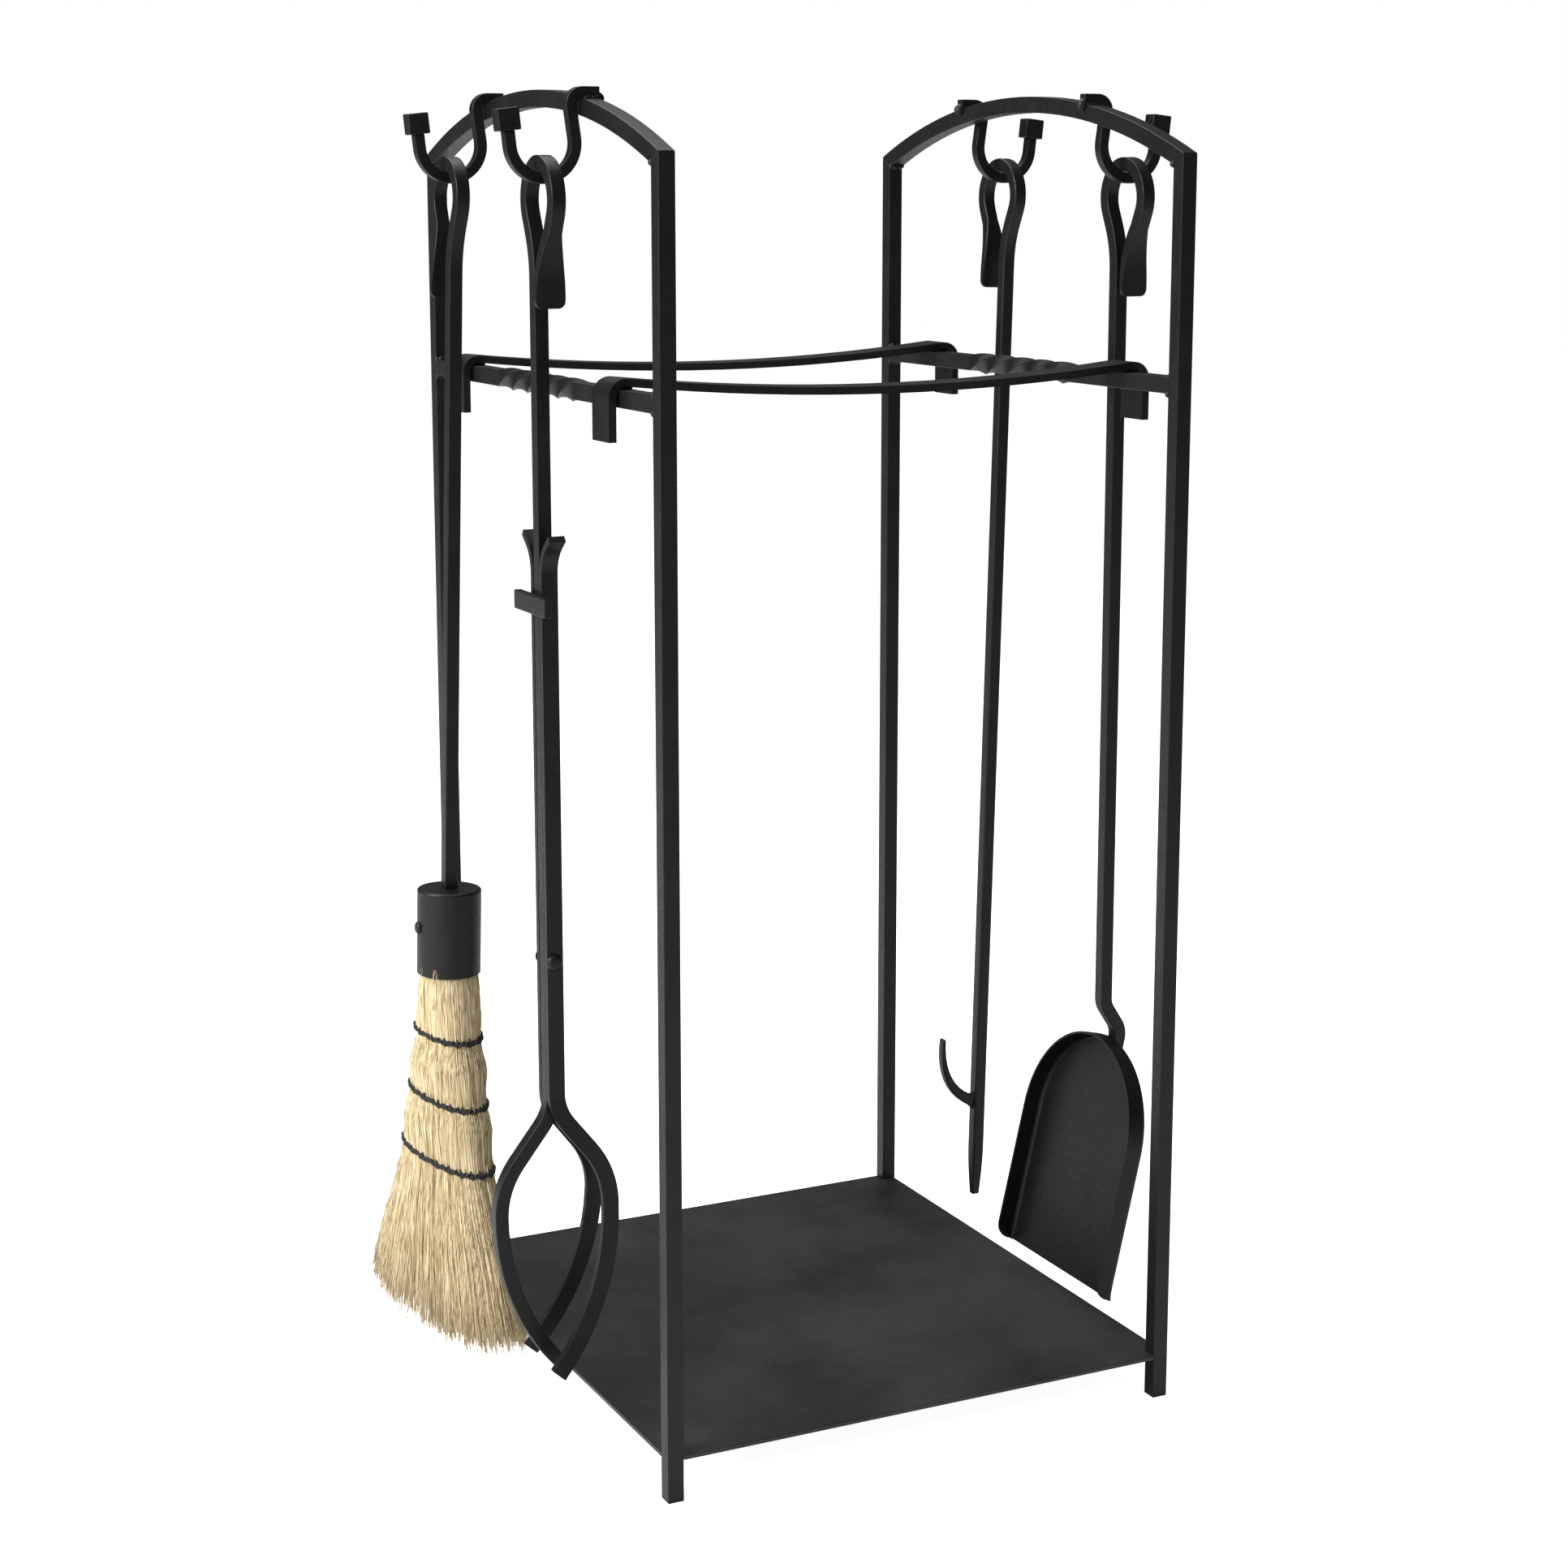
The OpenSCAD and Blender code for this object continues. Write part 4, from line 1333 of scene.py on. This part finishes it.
    def strays(self) -> None:
        """Builds the loose fibres that stand off the bundle and over the ferrule's lip."""
        dice = random.Random(SEED + 3)
        shares = [k / 5 for k in range(6)]
        runs, widths = [], []
        for _ in range(self.strays_out):
            angle = dice.uniform(0, math.tau)
            start = dice.uniform(self.stray_root, 680)
            length = min(dice.uniform(25, 75), self.longest - start)
            lift = dice.uniform(0.02, 0.09)
            runs.append([
                self.outline(angle + dice.gauss(0, 0.01) + 0.05 * s, start + length * s, 0.99 + lift * s * s)
                for s in shares
            ])
            widths.append(dice.uniform(0.16, 0.26))
        for _ in range(self.strays_up):
            angle = math.radians(dice.uniform(150, 215))
            length = 20 + dice.uniform(3, 8)
            run = []
            for s in shares:
                depth = self.stray_root - length * s
                out = 0.98 + 0.2 * s if depth < 512 else 1.0
                run.append(self.outline(angle + dice.gauss(0, 0.02) + 0.1 * s * s, depth, min(out, 1.16)))
            runs.append(run)
            widths.append(0.2)
        self.threads(Piece("bristle_strays", self.body, "straw"), runs, widths, 0.4)

    def twine(self) -> None:
        """Builds the three rows of twisted twine and their upright stitches."""
        for depth, name in zip(self.rows, ("top", "middle", "bottom"), strict=True):
            wide, thick = self.half_sizes(depth)
            around = math.pi * (3 * (wide + thick) - math.sqrt((3 * wide + thick) * (wide + 3 * thick)))
            stitches = round(around / self.stitch_pitch)
            runs = [self.strand(depth, phase, around, stitches) for phase in (0, math.pi)]
            widths = [self.twine_radius] * len(runs)
            runs += [self.stitch(depth, math.tau * (k + 0.5) / stitches) for k in range(stitches)]
            widths += [self.stitch_radius] * stitches
            row = Piece(f"twine_{name}", self.body, "twine", (f"stitch_row_{name}",))
            self.threads(row, runs, widths, roundness=2)

    def row_place(self, depth: float, angle: float) -> tuple[float, Vector]:
        """A twine row's depth in a direction, and the way out of the bundle there.

        Args:
            depth: The row's middle depth.
            angle: The direction round the bundle, in radians.

        Returns:
            The depth and the unit vector outwards.
        """
        level = depth - self.row_tilt * self.half_sizes(depth)[0] * math.sin(angle)
        return level, (self.outline(angle, level) - self.outline(angle, level, 0.5)).normalized()

    def strand(self, depth: float, phase: float, around: float, stitches: int) -> list[Vector]:
        """One of the two strands twisted round each other in a row.

        Args:
            depth: The row's depth.
            phase: Where its twist starts, in radians.
            around: The distance round the bundle.
            stitches: How many stitches pull the row in.

        Returns:
            Its points.
        """
        steps = int(around / self.twine_step)
        lays = round(around / self.lay_pitch)
        run = []
        for i in range(steps + 1):
            angle = math.tau * i / steps
            twist = lays * angle + phase
            dip = 0.5 * math.cos(stitches * angle)
            level, outward = self.row_place(depth, angle)
            out = outward * (0.9 + 0.7 * math.cos(twist) + 0.4 * dip)
            run.append(self.outline(angle, level) + out + Vector((0, 0, 0.85 * math.sin(twist) + dip)))
        return run

    def stitch(self, depth: float, angle: float) -> list[Vector]:
        """One upright stitch over a row.

        Args:
            depth: The row's depth.
            angle: The direction round the bundle, in radians.

        Returns:
            Its points.
        """
        level = self.row_place(depth, angle)[0]
        run = []
        for s in (j / 6 for j in range(7)):
            base = self.outline(angle + 0.05 * (s - 0.5), level - 2.9 + 5.4 * s)
            outward = (base - self.outline(angle, level, 0.5)).normalized()
            run.append(base + outward * (2.1 * math.sin(math.pi * s) - 0.5))
        return run


@dataclass
class Tongs:
    """The tongs: a handle with one jaw, and a yoke with two prongs on a rivet."""

    shop: Workshop
    handle: Handle = Handle()
    jaw_depth: float = 553.0
    splay: float = 38.0
    tip_splay: float = 42.0
    shoulder_bend: float = 30.0
    shoulder_run: float = 26.0
    jaw_bend: float = 52.0
    tip_bend: float = 146.0
    yoke_corner: float = 0.7
    plate_corner: float = 0.6
    pin_radius: float = 2.45
    dome_radius: float = 5.0
    dome_height: float = 1.6
    body: str = "tongs"
    yoke_body: str = "tongs_yoke"

    def build(self) -> None:
        """Builds every piece of the tongs."""
        self.rod()
        for place in Place:
            self.shop.softened_copy(f"tongs_yoke_{place.value}", self.yoke_body, self.yoke_corner)
        self.shop.softened_copy("tongs_cross_plate", self.yoke_body, self.plate_corner)
        self.rivet()

    def rivet(self) -> None:
        """Builds the rivet: its pin and a hammered dome on each side."""
        mesh = bmesh.new()
        low, high = node_box("tongs_rivet")
        middle = (low + high) / 2
        lying = Matrix.Translation(middle) @ Matrix.Rotation(-math.pi / 2, 4, "X")
        length = high.y - low.y
        bmesh.ops.create_cone(
            mesh, cap_ends=True, segments=32, radius1=self.pin_radius, radius2=self.pin_radius,
            depth=length - 2, matrix=lying,
        )
        for side in (-1, 1):
            seat = lying @ Matrix.Translation((0, 0, side * (length / 2 - 1.1)))
            seat @= Matrix.Rotation(0 if side > 0 else math.pi, 4, "X")
            made = bmesh.ops.create_cone(
                mesh, cap_ends=True, segments=32, radius1=self.dome_radius,
                radius2=self.dome_radius - 0.5, depth=self.dome_height, matrix=seat,
            )
            caps = [f for f in mesh.faces if len(f.verts) == 32 and all(v in made["verts"] for v in f.verts)]
            top = outermost(caps, seat)
            for inset, lift in ((0.5, 0.5), (0.9, 0.5), (1.2, 0.25)):
                bmesh.ops.inset_individual(mesh, faces=[top], thickness=inset, depth=lift)
        self.shop.finish(Piece("rivet_hammered", self.body, stands_for=("tongs_rivet",)), mesh, 60)

    def rod(self) -> None:
        """Builds the handle and its jaw as one bar."""
        h = self.handle
        hang = Hinge.of("tongs_swing").hang()
        middle = hang @ Matrix.Translation((0, h.neck_offset, -self.jaw_depth))
        jaw = [
            Bend(-self.splay, self.shoulder_bend),
            Line(self.shoulder_run),
            Bend(self.splay, self.jaw_bend),
            Bend(self.tip_splay, self.tip_bend),
        ]
        bar = Bar.from_tip(Section(h.rod, h.rod, h.corner), middle @ DOWN_IN_XZ, jaw)
        mesh = h.drawn_up(bar.rolled(-90), self.jaw_depth - h.neck_depth, Stand.BACK)
        self.shop.finish(Piece("tongs_handle", self.body, stands_for=("tongs_rod",)), mesh)


@dataclass
class Poker:
    """The poker: a handle that ends in a point, with a curved side tine."""

    shop: Workshop
    handle: Handle = Handle()
    lean: float = 1.4
    shoulder: float = 681.0
    point: float = 36.0
    tip: float = 5.0
    tine_corner: float = 1.3
    weld: float = 1.7
    body: str = "poker"

    def build(self) -> None:
        """Builds every piece of the poker."""
        h = self.handle
        hang = Hinge.of("poker_swing").hang(self.lean)
        start = hang @ Matrix.Translation((0, -h.neck_offset, -self.shoulder - self.point)) @ UP_IN_YZ
        bar = Bar(Section(self.tip, self.tip, self.tip * h.corner / h.rod + 0.4), start)
        steps = 6
        size = self.tip
        for i in range(1, steps + 1):
            new = self.tip + (h.rod - self.tip) * math.sin(math.pi / 2 * i / steps)
            bar.line(self.point / steps).grown(new / size, new / size)
            size = new
        mesh = h.drawn_up(bar, self.shoulder - h.neck_depth, Stand.FRONT)
        self.shop.finish(Piece("poker_handle", self.body, stands_for=("poker_rod",)), mesh)
        self.shop.softened_copy("poker_tine", self.body, self.tine_corner)
        self.tine_weld()

    def tine_weld(self) -> None:
        """Adds the bead round the tine's root."""
        weld = Weld(SEED + 4)
        low, high = node_box("poker_tine")
        root = Vector((high.x - 0.6, (low.y + high.y) / 2, low.z + 3.8))
        for dz in (-3.6, 3.4):
            weld.bead_across(root + Vector((0, 0, dz)), Vector((0, 2.6, 0)), self.weld)
        weld.finish(self.shop, "tine_weld", self.body)


@dataclass
class Shovel:
    """The shovel: a handle with an offset end welded behind a pressed pan."""

    shop: Workshop
    handle: Handle = Handle()
    bend_depth: float = 543.0
    offset_turn: float = 33.0
    slope: float = 13.0
    bend_radius: float = 14.0
    offset_run: float = 12.0
    weld_length: float = 30.0
    side_weld: float = 1.7
    end_weld: float = 1.8
    pan_width: float = 124.0
    pan_length: float = 158.0
    pan_depth: float = 14.0
    pan_sheet: float = 1.5
    round_height: float = 64.0
    top_radius: float = 36.0
    floor_bend: float = 4.0
    lip_radius: float = 11.0
    body: str = "shovel"

    def build(self) -> None:
        """Builds every piece of the shovel."""
        h = self.handle
        hang = Hinge.of("shovel_swing").hang()
        middle = hang @ Matrix.Translation((0, h.neck_offset, -self.bend_depth))
        path = [
            Bend(self.offset_turn, self.bend_radius),
            Line(self.offset_run),
            Bend(-self.offset_turn - self.slope, self.bend_radius),
            Line(self.weld_length),
        ]
        bar = Bar.from_tip(Section(h.rod, h.rod, h.corner), middle @ DOWN_IN_XZ, path)
        mesh = h.drawn_up(bar.rolled(-90), self.bend_depth - h.neck_depth, Stand.BACK)
        tip = middle @ DOWN_IN_XZ
        for run in path:
            tip = run.end(tip)
        self.shop.finish(Piece("shovel_handle", self.body, stands_for=("shovel_rod",)), mesh)
        self.pan(tip)
        self.pan_weld(tip)

    def pan(self, tip: Matrix) -> None:
        """Builds the pan: an outline drawn by spins, filled, walled and given its sheet.

        Args:
            tip: The rod's end, heading down the pan's back.
        """
        half = self.pan_width / 2
        rise = self.round_height - self.top_radius
        side = (rise**2 + half**2 - self.top_radius**2) / (2 * (half - self.top_radius))
        sweep = math.asin(rise / (side - self.top_radius))
        mesh = bmesh.new()
        corner = bmesh.ops.create_vert(mesh, co=(self.pan_length, half, 0))["vert"][0]
        head = self.pulled(mesh, corner, Vector((self.round_height - self.pan_length, 0, 0)))
        head = self.spun(mesh, head, Vector((self.round_height, half - side, 0)), sweep, 20)
        head = self.spun(mesh, head, Vector((self.top_radius, 0, 0)), math.pi - 2 * sweep, 26)
        head = self.spun(mesh, head, Vector((self.round_height, side - half, 0)), sweep, 20)
        head = self.pulled(mesh, head, Vector((self.pan_length - self.round_height, 0, 0)))
        mesh.edges.new((head, corner))
        bmesh.ops.contextual_create(mesh, geom=list(mesh.edges))
        lip = mesh.edges.get((head, corner))
        walls = [e for e in mesh.edges if e is not lip]
        grown = bmesh.ops.extrude_edge_only(mesh, edges=walls)["geom"]
        bmesh.ops.translate(mesh, verts=verts_in(grown), vec=(0, 0, self.pan_depth))
        round_edges(mesh, walls, self.floor_bend, 6)
        self.round_lip(mesh)
        bmesh.ops.recalc_face_normals(mesh, faces=mesh.faces)
        floor = max(mesh.faces, key=lambda f: f.calc_area())
        if floor.normal.z > 0:
            bmesh.ops.reverse_faces(mesh, faces=mesh.faces)
        bmesh.ops.solidify(mesh, geom=list(mesh.faces), thickness=self.pan_sheet)
        lay = Matrix.Translation((-self.weld_length - 1, -self.handle.rod / 2, 0))
        place = tip @ lay @ Matrix.Rotation(math.pi / 2, 4, "X")
        bmesh.ops.transform(mesh, matrix=place, verts=mesh.verts)
        self.shop.finish(Piece("shovel_pan_pressed", self.body, stands_for=("shovel_pan",)), mesh, 45)

    def pulled(self, mesh: BMesh, vert: BMVert, way: Vector) -> BMVert:
        """Pulls an edge out of a vertex.

        Args:
            mesh: The mesh.
            vert: The vertex.
            way: How far to pull.

        Returns:
            The new vertex.
        """
        grown = bmesh.ops.extrude_vert_indiv(mesh, verts=[vert])["verts"][0]
        bmesh.ops.translate(mesh, verts=[grown], vec=way)
        return grown

    def spun(self, mesh: BMesh, vert: BMVert, centre: Vector, angle: float, steps: int) -> BMVert:
        """Spins an arc of edges out of a vertex.

        Args:
            mesh: The mesh.
            vert: The vertex.
            centre: The arc's centre.
            angle: The arc's angle in radians.
            steps: How many edges.

        Returns:
            The arc's last vertex.
        """
        arc = bmesh.ops.spin(
            mesh, geom=[vert], cent=centre, axis=(0, 0, 1), dvec=(0, 0, 0), angle=angle, steps=steps,
            use_merge=False, use_normal_flip=False, use_duplicate=False,
        )
        return verts_in(arc["geom_last"])[0]

    def round_lip(self, mesh: BMesh) -> None:
        """Slopes the walls' front corners down to the lip in a soft curve.

        Args:
            mesh: The pan before it gets its sheet's thickness.
        """
        start = self.pan_length - self.lip_radius
        for cut in (0.6, 1.4, 2.6, 4.2, 6.2, 8.6, self.lip_radius):
            bmesh.ops.bisect_plane(
                mesh, geom=[*mesh.verts, *mesh.edges, *mesh.faces], dist=1e-4,
                plane_co=(self.pan_length - cut, 0, 0), plane_no=(1, 0, 0),
            )
        for vert in mesh.verts:
            if vert.co.x > start and vert.co.z > 0.5:
                share = min(1.0, (vert.co.x - start) / self.lip_radius)
                drop = self.lip_radius * (1 - math.sqrt(max(0.0, 1 - share * share)))
                limit = self.pan_depth - drop
                vert.co.z *= limit / self.pan_depth

    def pan_weld(self, tip: Matrix) -> None:
        """Adds the beads between the rod and the pan's back.

        Args:
            tip: The rod's end, heading down the pan's back.
        """
        weld = Weld(SEED + 5)
        half = self.handle.rod / 2
        for dz in (-half, half):
            start = tip @ Vector((-self.weld_length + 2, -half + 0.3, dz))
            weld.bead(start, tip @ Vector((-1, -half + 0.3, dz)), self.side_weld)
        start = tip @ Vector((0, -half + 0.4, -half + 1))
        weld.bead(start, tip @ Vector((0, -half + 0.4, half - 1)), self.end_weld)
        weld.finish(self.shop, "pan_weld", self.body)


# --- The studio ----------------------------------------------------------------


@dataclass(frozen=True)
class Lamp:
    """A square soft light: where it hangs, what it faces, its side and its power in watts."""

    name: str
    place: tuple[float, float, float]
    aim: tuple[float, float, float]
    size: float
    power: float

    def hang(self) -> None:
        """Hangs the light."""
        data = bpy.data.lights.new(self.name, "AREA")
        data.shape = "SQUARE"
        data.size = self.size
        data.energy = self.power
        obj = new_object(self.name, data)
        obj.location = self.place
        way = Vector(self.aim) - Vector(self.place)
        obj.rotation_euler = way.to_track_quat("-Z", "Y").to_euler()


@dataclass
class Studio:
    """The pale floor, the soft lights and the camera."""

    eye: tuple[float, float, float] = (-0.7755, -1.5903, 0.748)
    yaw: float = 26.26
    pitch: float = 10.36
    lens: float = 65.96
    shift_y: float = -0.0518
    floor_size: float = 16.0
    sky_cast: float = 0.1
    lamps: tuple[Lamp, ...] = (
        Lamp("key", (-2.8, -0.3, 1.9), (0.0, 0.0, 0.45), 1.6, 150.0),
        Lamp("front", (-1.0, -3.0, 2.6), (0.0, 0.0, 0.4), 1.0, 14.0),
        Lamp("top", (-0.2, 1.0, 3.0), (0.0, 0.0, 0.2), 2.4, 80.0),
    )

    def build(self) -> None:
        """Sets up the floor, the lights, the sky and the camera."""
        self.floor()
        self.sky()
        for lamp in self.lamps:
            lamp.hang()
        self.camera()

    def floor(self) -> None:
        """Lays the floor."""
        mesh = bmesh.new()
        bmesh.ops.create_grid(mesh, x_segments=8, y_segments=8, size=self.floor_size / 2)
        data = bpy.data.meshes.new("studio_floor")
        mesh.to_mesh(data)
        mesh.free()
        data.materials.append(StudioWhite().material())
        new_object("studio_floor", data)

    def sky(self) -> None:
        """Lights the scene all round: bright behind the set, dimmer on it."""
        world = bpy.data.worlds.new("studio")
        world.use_nodes = True
        tree = world.node_tree
        cast = tree.nodes.new("ShaderNodeBackground")
        mix = tree.nodes.new("ShaderNodeMixShader")
        ray = tree.nodes.new("ShaderNodeLightPath")
        tree.links.new(ray.outputs["Is Camera Ray"], mix.inputs["Fac"])
        shades = ((cast, self.sky_cast), (tree.nodes["Background"], 1.0))
        for number, (shown, strength) in enumerate(shades, start=1):
            shown.inputs["Color"].default_value = (1, 1, 1, 1)
            shown.inputs["Strength"].default_value = strength
            tree.links.new(shown.outputs["Background"], mix.inputs[number])
        tree.links.new(mix.outputs["Shader"], tree.nodes["World Output"].inputs["Surface"])
        bpy.context.scene.world = world
        bpy.context.scene.view_settings.view_transform = "Standard"

    def camera(self) -> None:
        """Sets up the camera."""
        data = bpy.data.cameras.new("camera")
        data.sensor_width = 36.0
        data.lens = self.lens
        data.shift_y = self.shift_y
        data.clip_end = 50.0
        obj = new_object("camera", data)
        obj.location = self.eye
        obj.rotation_euler = (math.radians(90 - self.pitch), 0, math.radians(-self.yaw))
        bpy.context.scene.camera = obj


def main() -> None:
    """Builds the studio, the rack and the tools."""
    logging.basicConfig(level=logging.INFO, format="%(name)s: %(message)s")
    finishes = Finishes()
    finishes.dress_cad()
    shop = Workshop(finishes)
    Studio().build()
    for part in (Rack(shop), Brush(shop), Tongs(shop), Poker(shop), Shovel(shop)):
        part.build()
    LOG.info("%d pieces", shop.count)


if __name__ == "__main__":
    main()
